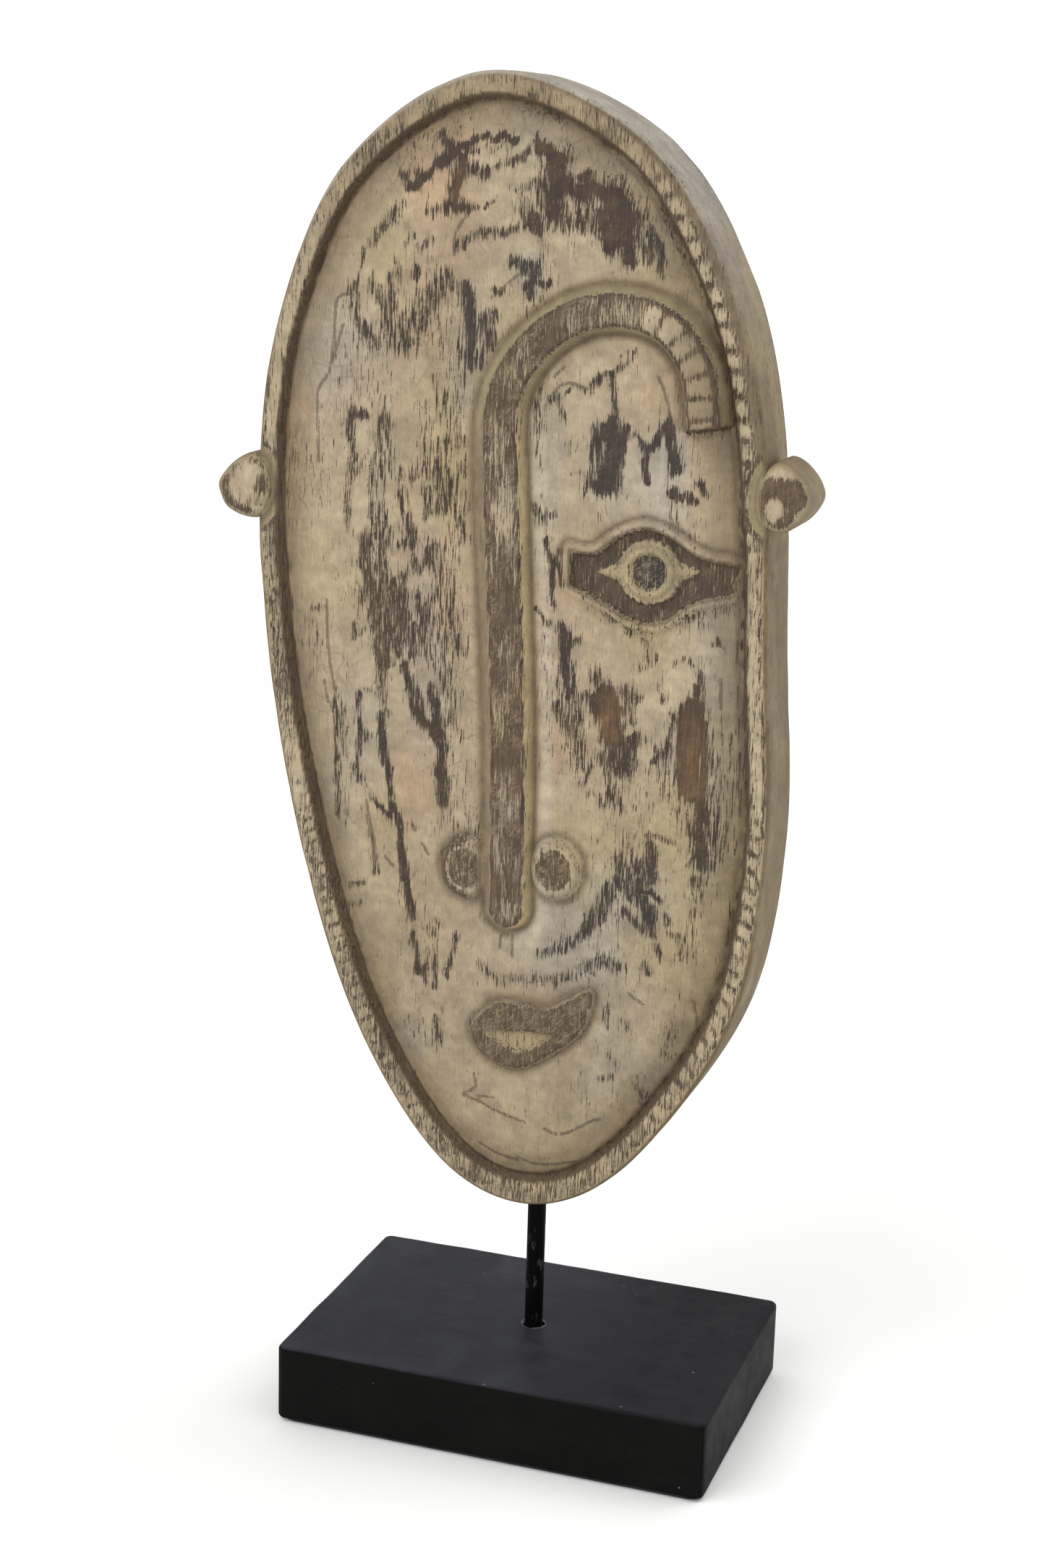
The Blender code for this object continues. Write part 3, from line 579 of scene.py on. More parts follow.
def nostril_shape(points, centre):
    """A dome inside a raised ring, and how far out each point is, where 1 is the ring's outer edge."""
    offset = (points - np.array(centre, float)) / np.array(NOSTRIL_RADII, float)
    reach = np.hypot(offset[:, 0], offset[:, 1])
    dome = 1.4 + 5.4 * np.sqrt(np.clip(1 - (reach / 0.74) ** 2, 0, 1))
    ring = 5.4 * bump(reach, 0.84, 0.13)
    outer = 4.8 * (1 - rise(reach, 0.84, 1.12)) * (reach > 0.6)
    return np.where(reach < 1.15, np.maximum(dome * (reach < 0.74), np.maximum(ring, outer)), 0), reach


def eye_shape(points):
    """The sunk almond with its contour lip, the iris and its two wedges."""
    inside = depth_inside(points, spline(EYE_OUTLINE, closed=True, span_points=8))
    offset = points - np.array(IRIS_CENTRE, float)
    reach = np.hypot(offset[:, 0], offset[:, 1])
    angle = np.arctan2(offset[:, 1], offset[:, 0])
    jagged = IRIS_RADIUS + 1.8 * (((angle * IRIS_TEETH / math.tau) % 1) - 0.5)
    ground = -3.6 * rise(inside, -0.3, 2.4)
    lip = 1.5 * bump(inside, -1.8, 1.6) - 0.9 * bump(inside, -5.6, 1.8)
    disc = 3.0 * (1 - rise(reach - jagged, -0.5, 0.8))
    ring = 1.7 * bump(reach, 11.4, 1.5) - 2.0 * (1 - rise(reach, 8.4, 10.2)) - 0.8 * bump(reach, 13.6, 0.8)
    wedges = np.zeros(len(points))
    for tip in WEDGE_TIPS:
        run = np.array(tip, float) - np.array(IRIS_CENTRE, float)
        length = np.linalg.norm(run)
        ahead = offset @ run / length
        beside = np.abs(offset @ np.array([-run[1], run[0]]) / length)
        share = np.clip((length - ahead) / (length - IRIS_RADIUS + 2), 0, 1)
        ridge = 1 - beside / (6.5 * share**1.2 + 0.4)
        wedge = 3.6 * np.clip(ridge, 0, 1) ** 0.7 * (ahead > 0) * rise(share, 0, 0.2)
        wedges = np.maximum(wedges, wedge)
    raised = np.maximum(disc, wedges)
    facts = {"inside": inside, "reach": reach, "raised": raised, "jagged": jagged}
    return ground + lip + raised + ring * (reach < jagged), facts


def mouth_shape(points):
    """Raised lips with a sunk slit, and a carved line all round."""
    inside = depth_inside(points, spline(LIPS_OUTLINE, closed=True, span_points=8))
    slit = depth_inside(points, spline(SLIT_OUTLINE, closed=True, span_points=8))
    above = rise(points[:, 1], 228, 236)
    body = 3.6 * rise(inside, -0.4, 3.0)
    edge = 0.7 * bump(inside, 0.8, 0.8)
    cut = -1.2 * bump(inside, -1.8, 1.4) - 1.5 * above * bump(inside, -3.5, 3.5)
    return body + edge + cut - 3.4 * rise(slit, -0.8, 1.8), {"inside": inside, "slit": slit}


def rim_gaps(x, z, from_edge, along):
    """Where the rim's pale blocks meet: cuts straight across it on the right, slanting ones on the left."""
    jitter = 0.16 * lumps(x, z, 14, 14, 4)
    block = np.interp(along + 0.25 * from_edge, RIM_PLACES, RIM_BLOCKS) + jitter
    right = bump(np.abs(block % 1 - 0.5), 0.5, 0.19)
    left = bump(np.abs(((z - 0.45 * from_edge) / 6.4 + jitter) % 1 - 0.5), 0.5, 0.17)
    return right, left


def relief(points, from_edge, along):
    """Heights of the front at these points, with everything that the paint depends on."""
    x, z = points[:, 0], points[:, 1]
    inward = from_edge - np.interp(along, RIM_PLACES, RIM_WIDTHS)
    panel = panel_height(x, z, inward)
    right, left = rim_gaps(x, z, from_edge, along)
    cut_right, cut_left, band = (
        np.interp(along, RIM_PLACES, row) for row in (RIM_RIGHT_GAPS, RIM_LEFT_GAPS, RIM_BANDS)
    )
    gap = np.maximum(right * cut_right, left * cut_left) * rise(from_edge - band, -1, 1)
    rim = RIM_HEIGHT - 0.8 * rise(inward, -9, -2.5) + 0.25 * lumps(x, z, 7, 9, 3) - 0.9 * gap
    into_groove = rise(inward, -2.6, -0.5)
    out_of_groove = rise(inward, 0.3, 3.8)
    height = rim * (1 - into_groove) + GROOVE_HEIGHT * into_groove
    height = height * (1 - out_of_groove) + panel * out_of_groove
    lift, ridge = ridge_shape(points, panel)
    height += lift * rise(inward, -4.0, -1.0)
    nostrils = []
    for centre in NOSTRILS:
        lift, reach = nostril_shape(points, centre)
        height += lift * rise(ridge["outside"], 0, 3)
        nostrils.append(reach)
    eye, eye_facts = eye_shape(points)
    height += eye * rise(inward, -1.0, 2.5)
    mouth, mouth_facts = mouth_shape(points)
    height += mouth
    ears = [spline(ear, closed=True, span_points=8) for ear in (LEFT_EAR, RIGHT_EAR)]
    to_ear = -np.maximum(*(depth_inside(points, ear) for ear in ears))
    height -= 2.2 * bump(to_ear, 2.5, 2.4)
    facts = {
        "inward": inward, "gap": gap, "ridge": ridge, "nostrils": nostrils, "eye": eye_facts,
        "mouth": mouth_facts, "to_ear": to_ear,
    }
    return height, facts


# ---------------------------------------------------------------- the mask's paint


def colour(code):
    """A linear colour from a hex code."""
    parts = [int(code[i:i + 2], 16) / 255 for i in (0, 2, 4)]
    return (*[c / 12.92 if c <= 0.04045 else ((c + 0.055) / 1.055) ** 2.4 for c in parts], 1.0)


def over(under, code, share):
    """This colour laid over the ones below it."""
    return under + (np.array(colour(code)) - under) * np.clip(share, 0, 1)[:, None]


def lay(under, share, value):
    """A value laid over an amount."""
    share = np.clip(share, 0, 1)
    return under * (1 - share) + value * share


class Coat:
    """The colours of paint and wood at each point, how worn and scratched it is there, and how much painted
    shade it has.
    """

    def __init__(self, points):
        self.x, self.z = points[:, 0], points[:, 1]
        self.paint = np.tile(colour(CREAM), (len(points), 1))
        self.wood = np.tile(colour(WOOD), (len(points), 1))
        self.wear = np.zeros(len(points))
        self.scratch = np.zeros(len(points))
        self.painted_shade = np.zeros(len(points))

    def lumps(self, size_x, size_z, seed):
        return lumps(self.x, self.z, size_x, size_z, seed)

    def tint(self, code, share):
        self.paint = over(self.paint, code, share)

    def stain(self, code, share):
        self.wood = over(self.wood, code, share)

    def rub(self, share, value):
        self.wear = lay(self.wear, share, value)

    def scratches(self, share, value):
        self.scratch = lay(self.scratch, share, value)

    def add_painted_shade(self, share):
        self.painted_shade = np.maximum(self.painted_shade, share)


def paint_field(coat, inward):
    """Clouded cream over the whole front, with painted shade towards the chin and in the cove beside the
    groove, worn through along the strokes.
    """
    x, z = coat.x, coat.z
    warped_x = x + 1.2 * coat.lumps(6, 9, 11) + 0.6 * coat.lumps(2.7, 4, 12)
    warped_z = z + 2.4 * coat.lumps(5, 14, 13) + 1.6 * coat.lumps(2.7, 6, 14)
    cool = patches(warped_x, warped_z, COOL_PATCHES)
    pink = patches(warped_x, warped_z, PINK_PATCHES)
    coat.tint(CREAM_WARM, 0.6 * rise(coat.lumps(42, 70, 21), 0.0, 0.8) + 0.7 * pink)
    coat.tint(CREAM_YELLOW, 0.6 * rise(coat.lumps(36, 60, 22), 0.1, 0.8))
    coat.tint(CREAM_GREY, 0.4 * rise(coat.lumps(26, 60, 23), 0.1, 0.8) + 0.55 * cool)
    # Painted shade: the cream grows darker towards the chin; it is also darker in random clouds
    coat.tint(CREAM_DARK, 0.35 * (1 - rise(z, 180, 420)) + 0.3 * rise(coat.lumps(12, 20, 24), 0.2, 0.9))
    # Painted shade in olive in the cove just inside the groove
    coat.tint(OLIVE_SHADE, 0.6 * bump(inward, 5, 7) + 0.25 * bump(inward, 14, 5))
    coat.stain(WOOD_RED, patches(warped_x, warped_z, RED_PATCHES))
    coat.stain(WOOD_COOL, 0.7 * cool)
    worn = strokes(warped_x, warped_z, WORN_STROKES)
    blobs = patches(warped_x, warped_z, CREAM_BLOBS)
    clean = 0.3 - 0.32 * rise(coat.lumps(20, 44, 16), -0.3, 0.7) * rise(z, 180, 330)
    solid = worn * (1.1 + 0.5 * rise(worn, 0.8, 1.1) + 0.15 * coat.lumps(3.0, 11, 15))
    coat.wear = solid * (1 - 0.95 * blobs) - clean - 0.2 * blobs
    coat.scratch = 0.12 * worn


def paint_ridge(coat, ridge):
    """The nose and brow: worn dark along the top, pale blocks on the brow's end, and olive slopes, with a
    painted shadow on the nose's left slope, a painted highlight on its right slope and a pale painted
    highlight strip beside it, and painted shade at the slopes' feet.
    """
    outside, band = ridge["outside"], ridge["along"]
    outer, nose = ridge["side"] < 0, 1 - ridge["brow"]
    past_slope = outside - ridge["slope"]
    on_slope = rise(outside, -0.6, 0.6) * (1 - rise(past_slope, 0, 2.0))
    face = 1 - rise(outside, -1.0, 0.0)
    # Painted shade just outside the foot of each slope
    coat.painted_shade = bump(past_slope, 0.8, 2.2)
    coat.rub(1 - rise(past_slope, 0, 3), -0.25)
    # Painted highlight: a pale strip on the panel right of the nose's slope
    coat.tint(CREAM_HIGHLIGHT, 0.7 * bump(past_slope, 7, 4) * ~outer * nose)
    coat.tint(OLIVE_PALE, 0.9 * on_slope)
    # Painted shadow on the nose's left slope and painted highlight on its right slope, over the olive slope
    # paint
    coat.tint(SLOPE_SHADOW_BROWN, 0.9 * on_slope * outer * nose)
    coat.tint(SLOPE_HIGHLIGHT_YELLOW, 0.9 * on_slope * ~outer * nose)
    # Brown painted shade line at the foot of each slope, stronger on the inner side
    coat.tint(SHADE_LINE_BROWN, (0.45 + 0.4 * ~outer) * bump(past_slope, 0.6, 1.1))
    blocks = rise(band, BROW_BLOCKS_START, BROW_BLOCKS_START + 12)
    block_gap = bump(np.abs((band / BROW_BLOCK + 0.1 * coat.lumps(9, 9, 17)) % 1 - 0.5), 0.5, 0.15)
    block_wear = np.maximum(0.95 * block_gap, 0.8 * rise(np.abs(outside + 8), 5.8, 7.4)) - 0.2
    tops = 0.75 - 0.4 * bump(band, 225, 28) + 0.45 * coat.lumps(8, 14, 18)
    coat.rub(face, lay(tops, blocks, block_wear))
    borders = bump(outside, -0.6, 1.0) * ~outer + bump(outside, -1.0, 1.2 + 0.4 * ridge["brow"]) * outer
    coat.rub(borders * rise(-outside, -1.4, -0.4), 0.95)
    coat.rub(bump(ridge["past_end"], 0.8, 1.5), 0.95)
    coat.stain(STAIN, face)
    coat.scratches(face, (0.55 + 0.6 * coat.lumps(12, 18, 26)) * (1 - blocks))


def paint_nostrils(coat, reaches, clear):
    """Worn domes in pale rings, with painted shade and a brown painted shade line round each ring's foot.
    The left ring is worn too, on its left.
    """
    for reach, ring_worn in zip(reaches, (True, False)):
        dome = (1 - rise(reach, 0.66, 0.74)) * clear
        ring = rise(reach, 0.70, 0.78) * (1 - rise(reach, 1.05, 1.2)) * clear
        # Painted shade round the ring's foot
        coat.add_painted_shade(bump(reach, 1.2, 0.12) * clear)
        # Brown painted shade line at the ring's outer foot
        coat.tint(SHADE_LINE_BROWN, 0.6 * bump(reach, 1.12, 0.05) * clear)
        left_of_dome = rise(NOSTRILS[0][0] - coat.x, -4, 2) * ring_worn
        coat.rub(dome + ring, lay(0.0, dome, 0.8) + ring * left_of_dome * 0.8)
        coat.stain(STAIN, dome + ring)
        coat.scratches(dome, 0.8)


def paint_eye(coat, eye):
    """A dark ground round a pale jagged iris, a scratched dark pupil, and painted shade in the groove round
    the eye's lip, stronger above the eye.
    """
    in_eye = rise(eye["inside"], 0.4, 1.4)
    ground = in_eye * (1 - rise(eye["raised"], 0.5, 1.3))
    pupil = 1 - rise(eye["reach"], 8.4, 9.4)
    coat.rub(rise(eye["inside"], -4, -1), 0.0)
    coat.rub(ground, 0.95)
    coat.rub(pupil, 0.85)
    coat.stain(EYE_GROUND, in_eye)
    coat.stain(WOOD_COOL, pupil)
    coat.scratches(ground, 0.15)
    coat.scratches(pupil, 0.9)
    coat.tint(IRIS_CREAM, in_eye * 0.9)
    # Painted shade in the groove round the eye's lip, stronger above the eye
    coat.add_painted_shade((0.3 + 0.5 * rise(coat.z, 466, 482)) * bump(eye["inside"], -5.0, 2.2))


def paint_mouth(coat, mouth):
    """Worn, scratched lips round a pale slit, with painted shade in the cut round the lips and along the
    slit's edge.
    """
    in_slit = rise(mouth["slit"], -0.6, 0.4)
    in_lips = rise(mouth["inside"], 0.3, 1.3) * (1 - in_slit)
    coat.rub(rise(mouth["inside"], -3, -0.5), 0.0)
    coat.rub(in_lips, 0.85)
    coat.stain(STAIN, in_lips)
    coat.scratches(in_lips, 0.7)
    coat.tint(IRIS_CREAM, in_slit)
    # Painted shade in the cut round the lips and along the slit's edge
    coat.add_painted_shade(0.8 * bump(mouth["inside"], -1.8, 1.8) + 0.5 * in_slit * bump(mouth["slit"], 0.8, 1.2))


def paint_lines(coat, eye, mouth, clear):
    """Olive painted shade in every recess, and brown painted shade lines round the mouth, the eye and the
    iris.
    """
    # Olive laid over all the painted shade
    coat.tint(OLIVE_SHADE, 0.6 * coat.painted_shade)
    # Brown painted shade lines: in the cut round the lips, in the groove above the eye, at the eye's sunk
    # edge, and round the iris
    coat.tint(SHADE_LINE_BROWN, 0.65 * bump(mouth["inside"], -0.9, 0.8) * clear)
    coat.tint(SHADE_LINE_BROWN, 0.6 * rise(coat.z, 466, 482) * bump(eye["inside"], -5.4, 0.9))
    coat.tint(SHADE_LINE_BROWN, 0.7 * bump(eye["inside"], -0.2, 0.8))
    iris_line = bump(eye["reach"] - eye["jagged"], 0.2, 0.7) + 0.6 * bump(eye["reach"], 13.6, 0.8)
    coat.tint(SHADE_LINE_BROWN, 0.55 * iris_line * rise(eye["inside"], 0.4, 1.4))


def paint_rim(coat, from_edge, along, inward, gap, on_rim):
    """The rim's pale blocks, the brown band outside them, and brown painted shade in the groove inside the
    rim and just beside it.
    """
    base, borders, groove_reach, band_width, brown = (
        np.interp(along, RIM_PLACES, row)
        for row in (RIM_WEAR, RIM_BORDERS, RIM_GROOVE_REACH, RIM_BANDS, RIM_BROWN)
    )
    past_band = from_edge - band_width - 2.2 * gap
    in_band = (1 - rise(past_band, -0.8, 0.8)) * rise(from_edge, 1.0, 2.0)
    border = np.maximum(bump(past_band, 0.4, 1.1), rise(inward, -3.8, -2.4))
    worn = np.maximum(base + 0.25 * coat.lumps(9, 16, 19), 0.95 * gap)
    coat.rub(on_rim, lay(np.maximum(worn, borders * border), in_band, 0.0))
    coat.tint(RIM_CREAM, on_rim)
    coat.tint(RIM_BROWN_PAINT, on_rim * brown)
    coat.tint(BAND_BROWN, on_rim * 0.85 * in_band * rise(band_width, 2, 4.5))
    coat.stain(RIM_DARK, 1 - rise(inward, -1, 3))
    past_groove = inward - groove_reach + 0.9 * coat.lumps(5, 5, 20)
    groove = rise(inward, -3.6, -2.6) * (1 - rise(past_groove, -0.8, 1.2))
    beside = bump(past_groove, 2, 2.5) * rise(inward, -3.4, -2.4)
    # Painted shade in the groove, and a softer band of it on the panel beside the groove
    coat.tint(GROOVE_SHADE_BROWN, 0.9 * groove + 0.35 * beside)
    coat.rub(groove, 0.1 + 0.6 * borders + 0.2 * coat.lumps(5, 12, 27))
    coat.scratches(1 - rise(inward, -1, 2), 0.3)


def paint_round_ears(coat, to_ear, on_rim):
    """A pale cove round each ear knob, with a brown painted shade line at the knob's foot and a worn line
    outside it.
    """
    cove = (1 - rise(to_ear, 4.2, 5.6)) * on_rim
    coat.tint(OLIVE_PALE, cove)
    # Brown painted shade line at the knob's foot
    coat.tint(SHADE_LINE_BROWN, 0.5 * bump(to_ear, 1.0, 1.2) * cove)
    coat.rub(cove, -0.3)
    coat.rub(bump(to_ear, 6.4, 1.2) * on_rim, 0.9)


def crack_amounts(points, facts, clear):
    """How far each point of the plain field is from a crack, and how much fine crazing it has."""
    plain = clear * rise(facts["inward"], 1, 3)
    for feature in ("eye", "mouth"):
        plain = plain * (1 - rise(facts[feature]["inside"], -4, -2))
    for reach in facts["nostrils"]:
        plain = plain * rise(reach, 1.1, 1.2)
    crack_gap = np.full(len(points), NO_CRACK)
    for line in CRACKS:
        gap, _, _, _ = nearest_on_line(points, spline(line, closed=False, span_points=6), closed=False)
        crack_gap = np.minimum(crack_gap, gap)
    x, z = points[:, 0], points[:, 1]
    left_or_high = np.maximum(1 - rise(x, -40, -20), rise(z, 600, 625))
    crazed = plain * left_or_high * rise(lumps(x, z, 26, 36, 25), -0.2, 0.4) * rise(z, 200, 380)
    return np.where(plain > 0.5, crack_gap, NO_CRACK), crazed


def paint_amounts(points, from_edge, along, facts):
    """The colours of paint and wood at each point, and how far the paint is worn and cracked there."""
    inward, ridge = facts["inward"], facts["ridge"]
    clear = rise(ridge["outside"] - ridge["slope"], 0, 3)
    on_rim = 1 - rise(inward, -3.4, -2.4)
    coat = Coat(points)
    paint_field(coat, inward)
    paint_ridge(coat, ridge)
    paint_nostrils(coat, facts["nostrils"], clear)
    paint_eye(coat, facts["eye"])
    paint_mouth(coat, facts["mouth"])
    paint_lines(coat, facts["eye"], facts["mouth"], clear)
    paint_rim(coat, from_edge, along, inward, facts["gap"], on_rim)
    paint_round_ears(coat, facts["to_ear"], on_rim)
    coat.tint(SIDE, 0.6 * (1 - rise(from_edge, 1.2, 2.2)))
    crack_gap, crazed = crack_amounts(points, facts, clear)
    return {
        "paint": coat.paint, "wood": coat.wood, "wear": coat.wear, "scratch": coat.scratch,
        "crack_gap": crack_gap, "network": crazed,
    }


# ---------------------------------------------------------------- meshes


def mesh_object(name, points, faces, amounts=None):
    """An object from points in metres, shaded smooth, with named amounts or colours on its points."""
    mesh = bpy.data.meshes.new(name)
    mesh.from_pydata(np.asarray(points).tolist(), [], [tuple(face) for face in faces])
    mesh.shade_smooth()
    for key, values in (amounts or {}).items():
        values = np.asarray(values, np.float32)
        kind, field = ("FLOAT_COLOR", "color") if values.ndim == 2 else ("FLOAT", "value")
        mesh.attributes.new(key, kind, "POINT").data.foreach_set(field, values.ravel())
    made = bpy.data.objects.new(name, mesh)
    bpy.context.scene.collection.objects.link(made)
    return made


def face_outwards(made):
    shape = bmesh.new()
    shape.from_mesh(made.data)
    bmesh.ops.recalc_face_normals(shape, faces=shape.faces)
    shape.to_mesh(made.data)
    shape.free()


def board_grid(outline):
    """A grid over the board's front, with the points beside the rounded edge pulled onto its line."""
    low, high = outline.min(0) - 2 * RELIEF_GRID, outline.max(0) + 2 * RELIEF_GRID
    columns = np.arange(low[0], high[0], RELIEF_GRID)
    rows = np.arange(low[1], high[1], RELIEF_GRID)
    points = np.stack(np.meshgrid(columns, rows, indexing="ij"), -1).reshape(-1, 2)
    distance, _, _, foot = nearest_on_line(points, outline, closed=True)
    inside = np.where(depth_inside(points, outline) > 0, distance, -distance)
    past_line = inside - EDGE_ROUND
    outward = (foot - points) / np.maximum(distance, 1e-6)[:, None] * np.sign(inside)[:, None]
    beside = np.abs(past_line) <= RELIEF_GRID / 2
    points[beside] += outward[beside] * past_line[beside][:, None]
    kept = past_line >= -RELIEF_GRID / 2
    corner = np.arange(len(columns) * len(rows)).reshape(len(columns), len(rows))
    cells = np.stack([corner[:-1, :-1], corner[1:, :-1], corner[1:, 1:], corner[:-1, 1:]], -1).reshape(-1, 4)
    return points, cells, kept


def front_triangles(cells, kept, heights):
    """Two triangles in each whole cell, split along its flatter diagonal, and one in each cut cell."""
    inside = kept[cells]
    whole = cells[inside.all(1)]
    first = np.abs(heights[whole[:, 0]] - heights[whole[:, 2]])
    second = np.abs(heights[whole[:, 1]] - heights[whole[:, 3]])
    ac, bd = whole[first <= second], whole[first > second]
    triangles = [ac[:, [0, 1, 2]], ac[:, [0, 2, 3]], bd[:, [0, 1, 3]], bd[:, [1, 2, 3]]]
    for missing in range(4):
        cut = cells[(~inside[:, missing]) & (inside.sum(1) == 3)]
        triangles.append(np.delete(cut, missing, axis=1))
    return np.vstack(triangles)


def border_edges(triangles):
    """The directed edges that only one triangle has."""
    edges = np.vstack([triangles[:, [0, 1]], triangles[:, [1, 2]], triangles[:, [2, 0]]])
    key = np.sort(edges, axis=1)
    _, index, count = np.unique(key, axis=0, return_inverse=True, return_counts=True)
    return edges[count[index.reshape(-1)] == 1]


def loop_order(edges):
    """The border's points in order around it."""
    following = dict(edges.tolist())
    order = [int(edges[0, 0])]
    while len(order) < len(edges):
        order.append(following[order[-1]])
    return np.array(order)


def side_profile():
    """(distance in from the edge, height) down the rounded edge, over the side and round to the back."""
    turn = np.radians((30, 60, 90))
    insets, drops = EDGE_ROUND * (1 - np.sin(turn)), EDGE_ROUND * (1 - np.cos(turn))
    front = list(zip(insets, HALF_THICKNESS - drops))
    levels = np.linspace(HALF_THICKNESS - EDGE_ROUND, EDGE_ROUND - HALF_THICKNESS, 12)[1:]
    side = [(0.0, level) for level in levels]
    back = [(inset, -height) for inset, height in reversed(front[:-1])]
    return front + side + back + [(EDGE_ROUND, -HALF_THICKNESS), (EDGE_ROUND + 2, -HALF_THICKNESS)]


def to_metres(flat_points, heights):
    """Front view points in millimetres and their heights, as places in the row frame."""
    return np.column_stack([
        (flat_points[:, 0] + MASK_MIDDLE) * MM,
        -np.asarray(heights) * MM,
        flat_points[:, 1] * MM + BASE_LOW.z,
    ])


def make_mask():
    """The whole board as one closed body: relief in front, rounded edges, side and flat back."""
    outline = spline(BOARD_OUTLINE, closed=True)
    grid, cells, kept = board_grid(outline)
    used = np.flatnonzero(kept)
    renumbered = np.full(len(grid), -1)
    renumbered[used] = np.arange(len(used))
    points = grid[used]
    distance, _, along, foot = nearest_on_line(points, outline, closed=True)
    heights, facts = relief(points, distance, along)
    all_heights = np.zeros(len(grid))
    all_heights[used] = heights
    triangles = renumbered[front_triangles(cells, kept, all_heights)]
    edges = border_edges(triangles)
    order = loop_order(edges)
    amounts = paint_amounts(points, distance, along, facts)
    border, inwards = foot[order], points[order] - foot[order]
    inwards /= np.linalg.norm(inwards, axis=1)[:, None]
    rings = [points[order]]
    ring_heights = [heights[order]]
    wobble = 0.35 * lumps(along[order], 0 * along[order], 16, 1, 7)
    for inset, level in side_profile():
        hand_cut = np.clip(wobble + 0.3 * lumps(along[order], along[order] * 0 + level, 22, 9, 8), -0.6, 0)
        rings.append(border + inwards * (inset - hand_cut)[:, None])
        ring_heights.append(np.full(len(order), level))
    size = len(order)
    start = len(points)
    faces = triangles.tolist()
    before = order
    for ring in range(1, len(rings)):
        here = start + (ring - 1) * size + np.arange(size)
        faces += np.column_stack([before, here, np.roll(here, -1), np.roll(before, -1)]).tolist()
        before = here
    faces.append(before.tolist())
    flat = np.vstack([points] + rings[1:])
    all_levels = np.concatenate([heights] + ring_heights[1:])
    around = {key: value[len(points):] for key, value in side_amounts(flat, all_levels).items()}
    amounts = {key: np.concatenate([value, around[key]]) for key, value in amounts.items()}
    mask = mesh_object("carved_mask", to_metres(flat, all_levels), faces, amounts)
    face_outwards(mask)
    cut(mask, turned("bore_cutter", ((BORE_RADIUS, -10), (BORE_RADIUS, ROD_HIGH.z / MM + 0.3)), 48))
    return mask


def side_amounts(flat, levels):
    """Colours and wear of the board's side and back, and of the ear knobs' sides."""
    x, z = flat[:, 0], flat[:, 1]
    paint = np.tile(colour(SIDE), (len(x), 1))
    # Painted light: the side grows paler towards the top, where it faces up
    paint = over(paint, SIDE_TOP_LIT, rise(z, 560, 690))
    paint = over(paint, CREAM_YELLOW, 0.35 * rise(lumps(z, levels, 40, 22, 31), 0.0, 0.8))
    paint = over(paint, CREAM_DARK, 0.5 * rise(lumps(z, levels, 22, 12, 32), 0.1, 0.9))
    back = rise(-levels, HALF_THICKNESS - 6, HALF_THICKNESS - 0.1)
    paint = over(paint, BACK, back)
    wear = lay(0.28 * rise(lumps(z, levels, 16, 9, 33), 0.4, 0.9) - 0.15, back, 0.25)
    return {
        "paint": paint,
        "wood": np.tile(colour(RIM_DARK), (len(x), 1)),
        "wear": wear,
        "scratch": np.full(len(x), 0.2),
        "crack_gap": np.full(len(x), NO_CRACK),
        "network": np.zeros(len(x)),
    }


def rings_joined(rings, size):
    """Faces between rings of points that follow one another, with a flat cap at each end."""
    faces = [tuple(range(size))[::-1]]
    for low in range(0, (rings - 1) * size, size):
        for i in range(size):
            j = (i + 1) % size
            faces.append((low + i, low + j, low + size + j, low + size + i))
    faces.append(tuple(range((rings - 1) * size, rings * size)))
    return faces


def turned(name, rings, sides):
    """A turned body about the rod's axis, from the (radius, height) of each ring in millimetres."""
    angles = np.arange(sides) * math.tau / sides
    points = [(r * math.cos(a) * MM, r * math.sin(a) * MM, h * MM) for r, h in rings for a in angles]
    made = mesh_object(name, points, rings_joined(len(rings), sides))
    face_outwards(made)
    return made


def cut(target, cutter):
    """Takes the cutter's shape out of the target, and then removes the cutter."""
    modifier = target.modifiers.new("cut", "BOOLEAN")
    modifier.operation = "DIFFERENCE"
    modifier.solver = "EXACT"
    modifier.object = cutter
    bpy.context.view_layer.update()
    evaluated = target.evaluated_get(bpy.context.evaluated_depsgraph_get())
    mesh = bpy.data.meshes.new_from_object(evaluated)
    target.modifiers.clear()
    target.data = mesh
    bpy.data.objects.remove(cutter)


def ear_profile():
    """(share of the outline, height) from the middle of a knob's front, round its edge and to its back."""
    quarter = np.radians(np.linspace(15, 90, 6))
    front = [(scale, EAR_FRONT + 0.9 * (1 - scale**2)) for scale in np.linspace(0.06, 0.78, 14)]
    front += [(0.78 + 0.22 * math.sin(a), EAR_FRONT - EAR_ROUND * (1 - math.cos(a))) for a in quarter]
    levels = np.linspace(EAR_FRONT - EAR_ROUND, EAR_BACK + 1.5, 13)[1:]
    side = [(1.0, level) for level in levels]
    return front, side + [(0.97, EAR_BACK + 0.4), (0.9, EAR_BACK), (0.4, EAR_BACK)]


